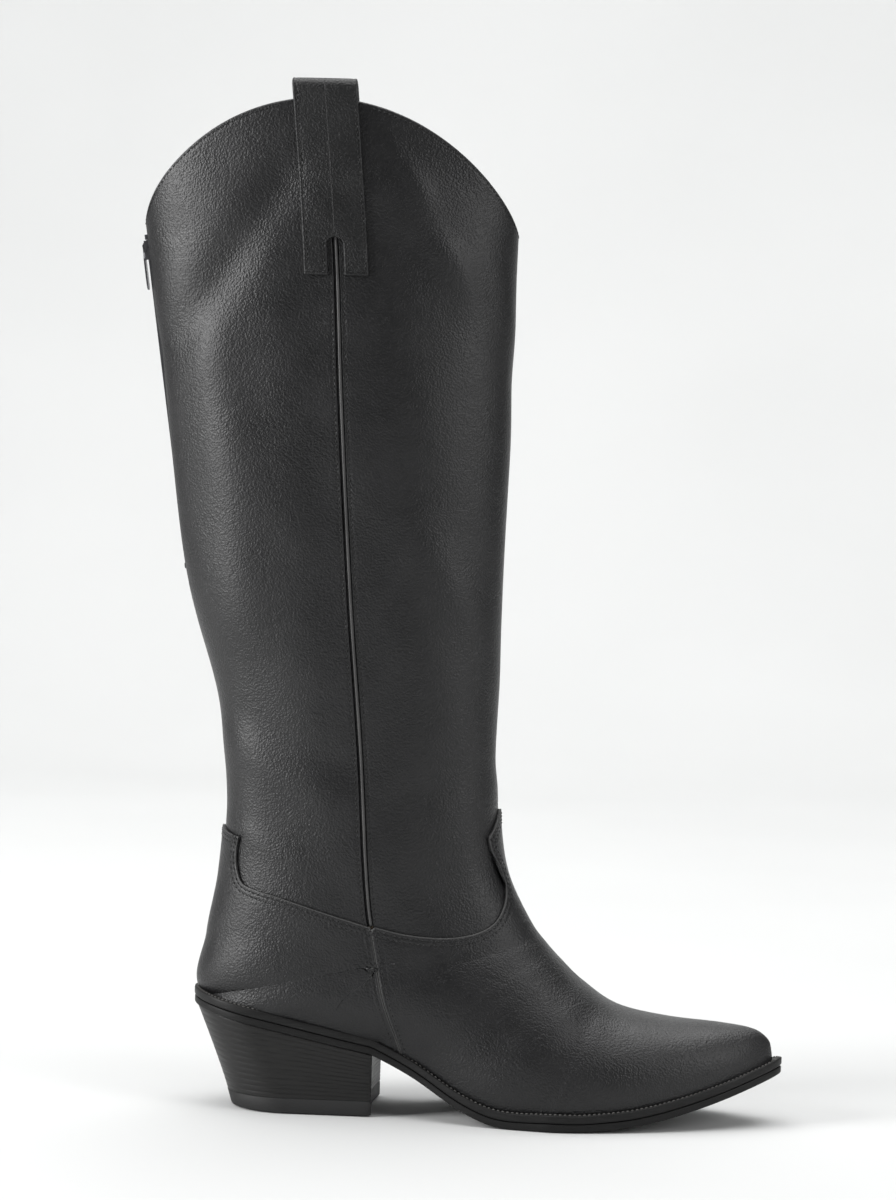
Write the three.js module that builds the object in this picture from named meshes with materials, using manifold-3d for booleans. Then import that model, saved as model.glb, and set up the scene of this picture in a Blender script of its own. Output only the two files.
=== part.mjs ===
// Knee-high western boot, right foot, with a short zip at the centre of its back.
// Millimetres. +X points to the toe, -Y to the outer side of the foot, +Z up.
// The origin is the centre of the face that the heel stands on.
import * as THREE from 'three';
import { mergeVertices } from 'three/addons/utils/BufferGeometryUtils.js';
import Module from 'manifold-3d';

const wasm = await Module();
wasm.setup();

// ---------------------------------------------------------------- driving dimensions
const SEAM_GAP = 0.3;              // clearance between pieces that are glued or sewn together
const TOPLINE_DIP = 421;           // height of the topline at the front and back dips
const TOPLINE_RISE = 60;           // from the dips up to the crown at each side
const TOPLINE_POWER = 1.45;        // how sharply the dips are pointed

const LINING_THICKNESS = 1.0;
const SHAFT_THICKNESS = 1.3;
const OVERLAY_THICKNESS = 1.4;     // vamp and counter, which lie on top of the shaft leather

const OUTSOLE_THICKNESS = 3.6;
const WELT_THICKNESS = 4.0;
const WELT_LEDGE = 4.0;            // how far the welt stands out from the upper
const WELT_WIDTH = 15;             // across the welt strip
const INSOLE_THICKNESS = 3.0;
const FILLER_CLEARANCE = 0.8;      // between the filler and the welt around it
const SOCK_THICKNESS = 1.2;
const HEEL_PAD_THICKNESS = 3.0;
const PAD_FRONT = 42;              // forward end of the heel pad
const SHANK_THICKNESS = 1.2;
const SHANK_WIDTH = 15;
const SHANK_BACK = -30;            // rear end of the shank
const SHANK_FRONT = 84;            // forward end of the shank
const SOCK_MARGIN = 0.6;           // the sock liner's edge inside the insole board's
const PAD_MARGIN = 4;              // the heel pad's edge inside the insole board's
const PAD_FADE = 33;               // length in which the sock liner comes down ahead of the pad

const SOLE_BACK = -57;             // rear end of the outsole
const SOLE_TIP = 227;              // forward end of the outsole
const HEEL_ROUND = 32;             // length of the round end of the heel seat
const BALL_LATERAL = { x: 118, half: 49.5 };
const BALL_MEDIAL = { x: 128, half: 42.5 };

const HEEL_FRONT = 32;             // breast of the heel
const BREAST_HEIGHT = 29.4;        // underside of the outsole at the breast
const SEAT_BACK_HEIGHT = 48.3;     // and at its rear end
const HEEL_BACK = -38;             // rear of the heel where it meets the ground
const HEEL_HALF = 28;              // half its width at the ground
const HEEL_SEAT_HALF = 30.5;       // half its width where it meets the outsole
const HEEL_HEIGHT = 42;            // under the middle of the heel's rear half, for its taper
const TOP_LIFT_THICKNESS = 7.0;
const HEEL_WRAP_THICKNESS = 1.2;
const BREAST_HOLLOW = 2.0;         // how far the breast curves in
const NAIL_RADIUS = 1.1;
const NAIL_HEAD_RADIUS = 2.3;
const NAIL_LENGTH = 20;
const SCREW_RADIUS = 2.2;
const SCREW_HEAD_RADIUS = 3.2;
const FASTENER_HEAD = 0.7;         // height of a nail's or the screw's head
const SCREW_LENGTH = 26;
const CORE_BORE_FLOOR = 15;        // the bores in the heel core end at this height

const PIPING_WIDTH = 1.8;
const PIPING_PROUD = 0.6;
const PIPING_TOP = 413;
const PIPING_BOTTOM = 96;
const PUFF_START = 178;
const STIFFENER_FRONT_GAP = 5;     // how far behind the side seam the stiffener ends

const STRAP_WIDTH = 30.5;
const STRAP_THICKNESS = 2.0;
const STRAP_RISE = 9;              // from the crown of the topline up to the fold of the strap
const STRAP_LENGTH = 92;           // from the fold down to the outside end
const STRAP_INSIDE_LENGTH = 50;
const STRAP_NOTCH_WIDTH = 7.6;
const STRAP_NOTCH_HEIGHT = 18;

const ZIP_TOP = 414;               // height of the top end of the teeth
const ZIP_BOTTOM = 260;            // height of the bottom end of the teeth
const ZIP_SLOPE = 0.147;           // how far the back line leans out for each unit of height
const ZIP_SLOT_HALF = 3.5;         // half the slot between the leather edges
const ZIP_SLOT_EXTRA = 6;          // how far the slot goes on below the teeth
const TAPE_HALF = 10;
const TAPE_THICKNESS = 0.8;
const TAPE_EXTRA = 5;              // how far the tapes go on below the teeth
const TAPE_RISE = 4;               // and above them
const TEETH_HALF = 2.2;            // half the width of the closed teeth
const TEETH_BEAD = 0.9;            // width of the bead that holds a row of teeth
const TOOTH_REACH = 0.9;           // how far a tooth reaches past the centre line
const TOOTH_PITCH = 3.6;
const TOOTH_SIZE = 1.4;
const TEETH_THICKNESS = 1.5;
const TEETH_PROUD = 0.3;
const STOP_HEIGHT = 2.4;
const STOP_PROUD = 0.5;            // how far the stops stand out from the teeth
const SLIDER_TOP = -0.2;           // the slider's upper end from the top of the teeth, zip closed
const SLIDER_LENGTH = 9;
const SLIDER_WALL = 0.6;
const SLIDER_PLATE = 0.9;
const BAIL_RADIUS = 0.4;
const BAIL_DROP = 2.4;             // from the slider's upper end down to the bail
const PULLER_LENGTH = 21;
const PULLER_WIDTH = 5.2;
const PULLER_THICKNESS = 0.8;
const PULLER_HEAD_RADIUS = 1.1;
const PULLER_HEAD_WIDTH = 2.0;
const PULLER_NECK = 6;             // from the bail down to the full width of the puller

const STRAP_TOP = TOPLINE_DIP + TOPLINE_RISE + STRAP_RISE;
const STRAP_BOTTOM = STRAP_TOP - STRAP_LENGTH;
const STRAP_INSIDE_END = STRAP_TOP - STRAP_INSIDE_LENGTH;
const OVERLAY_OUT = SEAM_GAP + OVERLAY_THICKNESS;
const LINING_OUT = -SHAFT_THICKNESS - SEAM_GAP;
const LINING_IN = LINING_OUT - LINING_THICKNESS;
const STACK = OUTSOLE_THICKNESS + SEAM_GAP + WELT_THICKNESS;
const WIDE = 130;                  // half the depth of every cutting prism

// ---------------------------------------------------------------- curves
// Smooth value of x through [x, value] pairs, level beyond both ends.
function through(pairs) {
  return (x) => {
    const last = pairs.length - 1;
    if (x <= pairs[0][0]) return pairs[0][1];
    if (x >= pairs[last][0]) return pairs[last][1];
    let i = 0;
    while (x > pairs[i + 1][0]) i += 1;
    const slope = (k) => {
      const a = pairs[Math.max(k - 1, 0)];
      const b = pairs[Math.min(k + 1, last)];
      return (b[1] - a[1]) / (b[0] - a[0]);
    };
    const width = pairs[i + 1][0] - pairs[i][0];
    const t = (x - pairs[i][0]) / width;
    const rise = slope(i) * width;
    const fall = slope(i + 1) * width;
    const from = pairs[i][1];
    const to = pairs[i + 1][1];
    return from + rise * t + (3 * (to - from) - 2 * rise - fall) * t * t
      + (2 * (from - to) + rise + fall) * t * t * t;
  };
}

// Stations along the foot that every layer of the sole is drawn through.
const STATIONS = [-300, SOLE_BACK, -56, -53, -48, -41, -33, -24, -12, 4, 18, HEEL_FRONT, 42, 53, 64, 75, 84, 93,
  105, 120, 134, 147, 160, 175, 190, 200, 210, 218, 223, 226, SOLE_TIP, 400];

// A function drawn with straight lines between the stations.
function stepped(smooth) {
  const heights = STATIONS.map(smooth);
  return (x) => {
    let i = 0;
    while (i + 2 < STATIONS.length && x > STATIONS[i + 1]) i += 1;
    const share = (x - STATIONS[i]) / (STATIONS[i + 1] - STATIONS[i]);
    return THREE.MathUtils.lerp(heights[i], heights[i + 1], share);
  };
}

// Underside of the outsole along the foot: straight heel seat, waist, ball on the ground, toe spring.
const seatSlope = (SEAT_BACK_HEIGHT - BREAST_HEIGHT) / (HEEL_FRONT - SOLE_BACK);
const aheadOfHeel = through([
  [HEEL_FRONT, BREAST_HEIGHT], [52, 19.5], [75, 6.2], [93, 0], [120, 0], [134, 0], [160, 2.8], [190, 10.5],
  [SOLE_TIP, 23.5],
]);
const soleBottom = stepped((x) => (x > HEEL_FRONT ? Math.max(aheadOfHeel(x), 0)
  : BREAST_HEIGHT + seatSlope * (HEEL_FRONT - Math.max(x, SOLE_BACK))));
const seatTop = (x) => soleBottom(x) + STACK;

const lateralHalf = through([[-25, 31], [12, 31], [46, 31], [82, 42], [BALL_LATERAL.x, BALL_LATERAL.half]]);
const medialHalf = through([[-25, 31], [12, 29.5], [46, 26.5], [86, 34], [BALL_MEDIAL.x, BALL_MEDIAL.half]]);

// Half width of the sole on one side, drawn in by an inset. The ends are rounded.
function soleHalf(x, medial, inset) {
  const ball = medial ? BALL_MEDIAL : BALL_LATERAL;
  const tip = SOLE_TIP - inset;
  const back = SOLE_BACK + inset;
  if (x >= tip || x <= back) return 0;
  if (x > ball.x) {
    const along = (x - ball.x) / (tip - ball.x);
    return (ball.half - inset) * (1 - along ** 1.55) ** 0.68;
  }
  const half = (medial ? medialHalf(x) : lateralHalf(x)) - inset;
  const roundStart = SOLE_BACK + HEEL_ROUND;
  if (x > roundStart) return half;
  return half * Math.sqrt(1 - ((roundStart - x) / (roundStart - back)) ** 2);
}

// ---------------------------------------------------------------- the last
// Sections from the topline to the toe. Each runs from the front ridge to the rear, which is the
// back line of the leg for the first nine and the seat of the sole for the others.
const FEATHER_INSET = WELT_LEDGE + OVERLAY_OUT;
const FEATHER_DROP = 3;            // how far the leather is drawn below the welt before it is trimmed
const CORNER = 8;                  // the section that ends at the rear corner of the heel seat
const FOREFOOT = 12;               // from this section on the walls follow the outline of the sole
const SECTIONS = [
  { front: [90, 490], rear: [-96, 490], lateral: 37, medial: 37, power: 2.0 },
  { front: [89, 421], rear: [-89.96, 421], lateral: 37, medial: 37, power: 2.0 },
  { front: [88.2, 340], rear: [-78.05, 340], lateral: 38, medial: 38, power: 2.0 },
  { front: [87.2, 258], rear: [-66, 258], lateral: 36.5, medial: 36.5, power: 2.0 },
  { front: [85.6, 195], rear: [-49.5, 195], lateral: 34, medial: 34, power: 2.05 },
  { front: [86.4, 154], rear: [SOLE_BACK + 13, 148], lateral: 33.5, medial: 33, power: 2.1 },
  { front: [88.2, 132], rear: [SOLE_BACK + 11.6, 112], lateral: 34, medial: 33, power: 2.1 },
  { front: [93, 112], rear: [SOLE_BACK + 6.6, 82], lateral: 34, medial: 33, power: 2.15 },
  { front: [103.4, 91], rear: [SOLE_BACK + 5.8, 53], lateral: 34.5, medial: 33, power: 2.2 },
  { front: [110.6, 81.4], rear: [-4, 0], lateral: 36, medial: 33, power: 2.2 },
  { front: [118.6, 72.8], rear: [48, 0], lateral: 38, medial: 34, power: 2.15 },
  { front: [129.5, 62.8], rear: [92, 0], lateral: 44, medial: 38, power: 2.1 },
  { front: [147, 51.8], rear: [130, 0], lateral: 0, medial: 0, power: 2.1 },
  { front: [171, 46.9], rear: [165, 0], lateral: 0, medial: 0, power: 2.2 },
  { front: [197, 44.7], rear: [197, 0], lateral: 0, medial: 0, power: 2.3 },
  { front: [212, 42.6], rear: [214, 0], lateral: 0, medial: 0, power: 2.4 },
  { front: [218.6, 38.6], rear: [220.2, 0], lateral: 0, medial: 0, power: 2.4 },
];
const TOE_SECTION = SECTIONS.length - 1;
const WALL_BULGE = 1.03;           // how much wider than its seat the forefoot is
const TIP_HALF = 0.8;              // half width of the narrow end face of the toe

function rearOf(index) {
  const section = SECTIONS[index];
  const x = section.rear[0];
  return index > CORNER ? [x, seatTop(x) - FEATHER_DROP] : section.rear;
}

function widthOf(index, medial) {
  const section = SECTIONS[index];
  const own = medial ? section.medial : section.lateral;
  return own || Math.max(soleHalf(section.rear[0], medial, FEATHER_INSET) * WALL_BULGE, TIP_HALF);
}

const blend = {
  frontX: through(SECTIONS.map((section, i) => [i, section.front[0]])),
  frontZ: through(SECTIONS.map((section, i) => [i, section.front[1]])),
  rearX: through(SECTIONS.map((section, i) => [i, rearOf(i)[0]])),
  rearZ: through(SECTIONS.map((section, i) => [i, rearOf(i)[1]])),
  lateral: through(SECTIONS.map((section, i) => [i, widthOf(i, false)])),
  medial: through(SECTIONS.map((section, i) => [i, widthOf(i, true)])),
  power: through(SECTIONS.map((section, i) => [i, section.power])),
};

const signedPower = (value, power) => Math.sign(value) * Math.abs(value) ** power;

// A section of the last at any place between two of the listed ones.
function sectionAt(place) {
  const rearX = blend.rearX(place);
  const follows = THREE.MathUtils.smoothstep(place, FOREFOOT - 1, FOREFOOT);
  const half = (medial) => {
    const seat = place > CORNER ? soleHalf(rearX, medial, FEATHER_INSET) : 0;
    const listed = medial ? blend.medial(place) : blend.lateral(place);
    const wide = Math.max(THREE.MathUtils.lerp(listed, seat * WALL_BULGE, follows), TIP_HALF);
    return { wide, seat };
  };
  return {
    front: [blend.frontX(place), blend.frontZ(place)],
    rear: [rearX, place > CORNER + 1 ? seatTop(rearX) - FEATHER_DROP : blend.rearZ(place)],
    lateral: half(false),
    medial: half(true),
    power: blend.power(place),
  };
}

// The place in the leg whose section lies at a height.
const LEG_END = 4;
function placeAtHeight(height) {
  let low = 0;
  let high = LEG_END;
  for (let step = 0; step < 30; step += 1) {
    const middle = (low + high) / 2;
    if (blend.frontZ(middle) > height) low = middle;
    else high = middle;
  }
  return (low + high) / 2;
}

const TOPLINE_BASE = 3;            // the sections above this one are drawn up to the topline
const BASE_HEIGHT = SECTIONS[TOPLINE_BASE].front[1];

// A point of the last: place runs from the topline (0) to the toe, turn from the front ridge (0)
// to the rear on the outer side (-1) or the inner side (1).
function lastPoint(place, turn) {
  const medial = turn > 0;
  const side = medial ? 1 : -1;
  let section = sectionAt(place);
  if (place < TOPLINE_BASE) {
    const rise = TOPLINE_RISE * Math.abs(Math.sin(turn * Math.PI)) ** TOPLINE_POWER;
    const height = THREE.MathUtils.lerp(TOPLINE_DIP + rise, BASE_HEIGHT, place / TOPLINE_BASE);
    section = sectionAt(placeAtHeight(height));
  }
  const { wide, seat } = medial ? section.medial : section.lateral;
  const end = Math.PI - Math.asin(Math.min(1, (seat / wide) ** (section.power / 2)));
  const angle = Math.abs(turn) * end;
  const power = 2 / section.power;
  const share = (1 - signedPower(Math.cos(angle), power)) / (1 - signedPower(Math.cos(end), power));
  return new THREE.Vector3(
    THREE.MathUtils.lerp(section.front[0], section.rear[0], share),
    side * wide * signedPower(Math.sin(angle), power),
    THREE.MathUtils.lerp(section.front[1], section.rear[1], share),
  );
}

// The same point moved out along the surface's normal.
function skinPoint(place, turn, out) {
  const step = 0.004;
  const before = Math.max(place - step, 0);
  const after = Math.min(place + step, TOE_SECTION);
  const along = lastPoint(after, turn).sub(lastPoint(before, turn));
  const across = lastPoint(place, turn + step).sub(lastPoint(place, turn - step));
  const normal = along.cross(across).normalize();
  if (turn === 0 || (Math.abs(turn) === 1 && place <= CORNER)) normal.setY(0).normalize();
  return lastPoint(place, turn).addScaledVector(normal, out);
}

// ---------------------------------------------------------------- solids
function asSolid(geometry) {
  const bare = geometry.index ? geometry.toNonIndexed() : geometry.clone();
  bare.deleteAttribute('normal');
  bare.deleteAttribute('uv');
  const merged = mergeVertices(bare, 1e-4);
  const triVerts = new Uint32Array(merged.index.array);
  const vertProperties = new Float32Array(merged.attributes.position.array);
  return new wasm.Manifold(new wasm.Mesh({ numProp: 3, vertProperties, triVerts }));
}

function asGeometry(solid) {
  const mesh = solid.getMesh();
  const geometry = new THREE.BufferGeometry();
  geometry.setAttribute('position', new THREE.BufferAttribute(new Float32Array(mesh.vertProperties), 3));
  geometry.setIndex(new THREE.BufferAttribute(new Uint32Array(mesh.triVerts), 1));
  geometry.computeVertexNormals();
  return geometry;
}

// A builder of closed solids from quads of points, wound to face out.
class Quads {
  constructor() {
    this.points = [];
  }

  addTriangle(a, b, c) {
    const touching = [[a, b], [b, c], [c, a]].some(([p, q]) => p.distanceTo(q) < 1e-5);
    if (!touching) this.points.push(a, b, c);
  }

  add(a, b, c, d) {
    this.addTriangle(a, b, c);
    this.addTriangle(a, c, d);
  }

  solid() {
    return asSolid(new THREE.BufferGeometry().setFromPoints(this.points));
  }
}

const LAST_PLACES = [0, 0.9, 1.8, 3, 3.5, 4, 4.5, 5, 5.8, 6.6, 7.3, CORNER, 8.06, 8.15, 8.35, 8.7, 9.2, 10, 11,
  12, 13, 14, 14.8, 15.5, TOE_SECTION];
const TURNS = 11;                  // steps from the front ridge to the rear, on each side

// One layer of the whole upper, between two distances from the last's surface.
function layer(inner, outer) {
  const quads = new Quads();
  const put = (a, b, c, d) => quads.add(d, c, b, a);
  const turnAt = (j) => Math.sign(j) * (Math.abs(j) / TURNS);
  const skins = [outer, inner].map((out) => LAST_PLACES.map((place) => {
    const row = new Map();
    for (let j = -TURNS; j <= TURNS; j += 1) row.set(j, skinPoint(place, turnAt(j), out));
    if (place <= CORNER) row.set(TURNS, row.get(-TURNS));
    return row;
  }));
  const [shell, hollow] = skins;
  const rows = LAST_PLACES.length;
  const corner = LAST_PLACES.indexOf(CORNER);
  // The four corners of a cell, begun so that both faces of the layer split along the same diagonal.
  const cell = (skin, i, j) => {
    const corners = [skin[i].get(j), skin[i].get(j + 1), skin[i + 1].get(j + 1), skin[i + 1].get(j)];
    return j < 0 ? [...corners.slice(1), corners[0]] : corners;
  };
  for (let i = 0; i + 1 < rows; i += 1) {
    for (let j = -TURNS; j < TURNS; j += 1) {
      const [a, b, c, d] = cell(shell, i, j);
      quads.add(d, c, b, a);
      const [e, f, g, h] = cell(hollow, i, j);
      quads.add(f, g, h, e);
    }
    if (i >= corner) {
      put(shell[i].get(TURNS), hollow[i].get(TURNS), hollow[i + 1].get(TURNS), shell[i + 1].get(TURNS));
      put(hollow[i].get(-TURNS), shell[i].get(-TURNS), shell[i + 1].get(-TURNS), hollow[i + 1].get(-TURNS));
    }
  }
  for (let j = -TURNS; j < TURNS; j += 1) {
    put(shell[0].get(j + 1), shell[0].get(j), hollow[0].get(j), hollow[0].get(j + 1));
  }
  const end = rows - 1;
  for (let j = 0; j < TURNS; j += 1) {
    put(shell[end].get(j), shell[end].get(j + 1), shell[end].get(-j - 1), shell[end].get(-j));
    put(hollow[end].get(j + 1), hollow[end].get(j), hollow[end].get(-j), hollow[end].get(-j - 1));
  }
  put(shell[end].get(TURNS), hollow[end].get(TURNS), hollow[end].get(-TURNS), shell[end].get(-TURNS));
  return quads.solid();
}

// A prism across the boot from an outline seen from the side, between two values of Y.
function prism(outline, from = -WIDE, to = WIDE) {
  const shape = new THREE.Shape(outline.map(([x, z]) => new THREE.Vector2(x, z)));
  const geometry = new THREE.ExtrudeGeometry(shape, { depth: to - from, bevelEnabled: false });
  geometry.rotateX(Math.PI / 2);
  geometry.translate(0, to, 0);
  return asSolid(geometry);
}

function block(low, high) {
  const geometry = new THREE.BoxGeometry(high[0] - low[0], high[1] - low[1], high[2] - low[2]);
  geometry.translate((high[0] + low[0]) / 2, (high[1] + low[1]) / 2, (high[2] + low[2]) / 2);
  return asSolid(geometry);
}

// A plate that follows the sole: an outline of half widths, between two heights that vary along X.
function plate({ inset, from, to, low, high, lateral, medial, across = 2 }) {
  const quads = new Quads();
  const start = Math.max(from ?? -Infinity, SOLE_BACK + inset);
  const finish = Math.min(to ?? Infinity, SOLE_TIP - inset);
  const places = [start, ...STATIONS.filter((x) => x > start + 0.4 && x < finish - 0.4), finish];
  const steps = places.length - 1;
  const rows = [];
  for (const x of places) {
    const outer = Math.max(Math.min(soleHalf(x, false, inset), lateral ?? Infinity), 0.4);
    const inner = Math.max(Math.min(soleHalf(x, true, inset), medial ?? Infinity), 0.4);
    const row = [];
    for (let j = 0; j <= across; j += 1) {
      const y = THREE.MathUtils.lerp(-outer, inner, j / across);
      row.push([new THREE.Vector3(x, y, low(x)), new THREE.Vector3(x, y, high(x))]);
    }
    rows.push(row);
  }
  for (let i = 0; i < steps; i += 1) {
    const [here, next] = [rows[i], rows[i + 1]];
    for (let j = 0; j < across; j += 1) {
      quads.add(here[j][1], next[j][1], next[j + 1][1], here[j + 1][1]);
      quads.add(here[j][0], here[j + 1][0], next[j + 1][0], next[j][0]);
    }
    quads.add(here[0][0], next[0][0], next[0][1], here[0][1]);
    quads.add(here[across][1], next[across][1], next[across][0], here[across][0]);
  }
  for (let j = 0; j < across; j += 1) {
    quads.add(rows[0][j][0], rows[0][j][1], rows[0][j + 1][1], rows[0][j + 1][0]);
    const last = rows[steps];
    quads.add(last[j][0], last[j + 1][0], last[j + 1][1], last[j][1]);
  }
  return quads.solid();
}

// ---------------------------------------------------------------- pieces
const boot = new THREE.Group();
const PAINT = {
  leather: { color: 0x17171a, roughness: 0.48, metalness: 0 },
  strap: { color: 0x141416, roughness: 0.45, metalness: 0 },
  lining: { color: 0x8c7458, roughness: 0.75, metalness: 0 },
  board: { color: 0x8a7a62, roughness: 0.85, metalness: 0 },
  cork: { color: 0xa27b52, roughness: 0.9, metalness: 0 },
  rubber: { color: 0x18181a, roughness: 0.7, metalness: 0 },
  stack: { color: 0x1d1c1d, roughness: 0.55, metalness: 0 },
  plastic: { color: 0x3a3a3c, roughness: 0.6, metalness: 0 },
  steel: { color: 0xb8babd, roughness: 0.35, metalness: 1 },
  tape: { color: 0x121214, roughness: 0.9, metalness: 0 },
  foam: { color: 0x50483c, roughness: 0.95, metalness: 0 },
};

function piece(name, solid, paint, parent = boot) {
  const geometry = solid.isBufferGeometry ? solid : asGeometry(solid);
  const mesh = new THREE.Mesh(geometry, new THREE.MeshStandardMaterial(PAINT[paint]));
  mesh.name = name;
  parent.add(mesh);
  return mesh;
}

// Side seam of the leg, which carries on down between the vamp and the counter.
const seamAt = through([[10, 52], [34, 45.5], [57, 37], [75, 33], [104, 28], [175, 22.5], [246, 16],
  [340, 9.3], [412, 5], [500, -3]]);
const SEAM_HEIGHTS = [10, 25, 34, 45, 57, 75, 104, 140, 175, 210, 246, 290, 340, 390, 430, 500];
const seamLine = (shift) => SEAM_HEIGHTS.map((z) => [seamAt(z) + shift, z]);
const ahead = (shift) => [...seamLine(shift), [300, 500], [300, 10]];
const behind = (shift) => [...seamLine(shift).reverse(), [-200, 10], [-200, 500]];

// Trim line where the leather stands on the welt, sampled along the foot.
const aboveSeat = prism([...STATIONS.map((x) => [x, seatTop(x) + SEAM_GAP]), [400, 600], [-300, 600]]);

// Lower edge of the shaft leather, hidden under the vamp and the counter.
const shaftFoot = (x) => 82 - 0.14 * (x - 30);
const aboveFoot = prism([[-200, shaftFoot(-200)], [300, shaftFoot(300)], [300, 600], [-200, 600]]);
const belowFoot = prism([[-200, shaftFoot(-200) - SEAM_GAP], [-200, -50], [300, -50],
  [300, shaftFoot(300) - SEAM_GAP]]);

// The slot for the zip at the centre of the back, open at the topline.
function zipSlot(half) {
  return block([-200, -half, ZIP_BOTTOM - ZIP_SLOT_EXTRA], [0, half, 600]);
}

function addShaft() {
  const leather = layer(-SHAFT_THICKNESS, 0).intersect(aboveFoot);
  const halfBand = PIPING_WIDTH / 2 + SEAM_GAP;
  piece('shaft_front_panel', leather.intersect(prism(ahead(halfBand))), 'leather');
  const back = leather.intersect(prism(behind(-halfBand))).subtract(zipSlot(ZIP_SLOT_HALF));
  const outerHalf = block([-200, -WIDE, 0], [200, -SEAM_GAP / 2, 600]);
  const innerHalf = block([-200, SEAM_GAP / 2, 0], [200, WIDE, 600]);
  piece('shaft_back_outer_panel', back.intersect(outerHalf), 'leather');
  piece('shaft_back_inner_panel', back.intersect(innerHalf), 'leather');

  const band = prism([...seamLine(-PIPING_WIDTH / 2), ...seamLine(PIPING_WIDTH / 2).reverse()]);
  const tall = block([-200, -WIDE, PIPING_BOTTOM], [200, WIDE, PIPING_TOP]);
  const piping = layer(-SHAFT_THICKNESS, PIPING_PROUD).intersect(band).intersect(tall);
  piece('side_seam_piping_outer', piping.intersect(outerHalf), 'strap');
  piece('side_seam_piping_inner', piping.intersect(innerHalf), 'strap');
}

function addLining() {
  const lining = layer(LINING_IN, LINING_OUT).intersect(aboveSeat);
  const gap = SEAM_GAP / 2;
  const leg = lining.intersect(aboveFoot);
  const back = leg.intersect(prism(behind(-gap))).subtract(zipSlot(TAPE_HALF + SEAM_GAP));
  piece('shaft_lining_front', leg.intersect(prism(ahead(gap))), 'lining');
  piece('shaft_lining_back_outer', back.intersect(block([-200, -WIDE, 0], [200, -gap, 600])), 'lining');
  piece('shaft_lining_back_inner', back.intersect(block([-200, gap, 0], [200, WIDE, 600])), 'lining');
  const foot = lining.intersect(belowFoot);
  piece('vamp_lining', foot.intersect(prism(ahead(gap))), 'lining');
  piece('heel_lining', foot.intersect(prism(behind(-gap))), 'lining');
}

// Top edge of the vamp: a low curve from the side seam to a throat, then up round the tongue.
const VAMP_EDGE = [[32, 91.4], [47, 87.6], [67, 86.6], [80, 88.6], [87.4, 93], [91.4, 100], [92, 109],
  [89.8, 118.4], [86, 127.6], [84.4, 137], [90, 147.5]];
// Top edge of the counter: a pointed tab at the back, a scoop, then a low line to the side seam.
const COUNTER_EDGE = [[SOLE_BACK + 10, 134.7], [SOLE_BACK + 22.4, 130.6], [SOLE_BACK + 21, 124],
  [SOLE_BACK + 21, 116], [SOLE_BACK + 24, 108.5], [SOLE_BACK + 35, 105], [-3.6, 100.4], [30.5, 91]];

function addOverlays() {
  const overlay = layer(SEAM_GAP, OVERLAY_OUT).intersect(aboveSeat);
  const low = SEAM_HEIGHTS.filter((z) => z < 80);
  const vamp = [...low.map((z) => [seamAt(z) + SEAM_GAP, z]), ...VAMP_EDGE, [100, 152], [300, 152], [300, 10]];
  const counter = [...low.map((z) => [seamAt(z) - SEAM_GAP, z]), ...[...COUNTER_EDGE].reverse(),
    [SOLE_BACK + 5, 136.4], [-200, 136.4], [-200, 10]];
  piece('vamp', overlay.intersect(prism(vamp)), 'leather');
  piece('counter_cover', overlay.intersect(prism(counter)), 'leather');
}

function addStiffening() {
  const core = layer(-SHAFT_THICKNESS, 0).intersect(aboveSeat).intersect(belowFoot);
  piece('counter_stiffener', core.intersect(prism(behind(-STIFFENER_FRONT_GAP))), 'board');
  const forward = core.intersect(prism(ahead(SEAM_GAP)));
  piece('vamp_doubler', forward.intersect(block([0, -WIDE, 0], [PUFF_START - SEAM_GAP, WIDE, 600])), 'tape');
  piece('toe_puff', forward.intersect(block([PUFF_START, -WIDE, 0], [300, WIDE, 600])), 'board');
}

// ---------------------------------------------------------------- sole
const NAILS = [[-34, 0], [-18, -17], [-18, 17], [14, -17], [14, 17]];
const SCREW = [-6, 0];

function cylinder(x, y, radius, low, high, sides = 12) {
  const geometry = new THREE.CylinderGeometry(radius, radius, high - low, sides);
  geometry.rotateX(Math.PI / 2);
  geometry.translate(x, y, (low + high) / 2);
  return asSolid(geometry);
}

function drilled(solid) {
  let result = solid.subtract(cylinder(...SCREW, SCREW_RADIUS + SEAM_GAP, 0, 90));
  for (const [x, y] of NAILS) result = result.subtract(cylinder(x, y, NAIL_RADIUS + SEAM_GAP, 0, 90, 8));
  return result;
}

const weltLow = (x) => soleBottom(x) + OUTSOLE_THICKNESS + SEAM_GAP;
const insoleLow = (x) => seatTop(x) + SEAM_GAP;
const insoleHigh = (x) => insoleLow(x) + INSOLE_THICKNESS;
const INSOLE_INSET = FEATHER_INSET - LINING_IN + 2.6;
const SOCK_INSET = INSOLE_INSET + SOCK_MARGIN;

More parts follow.
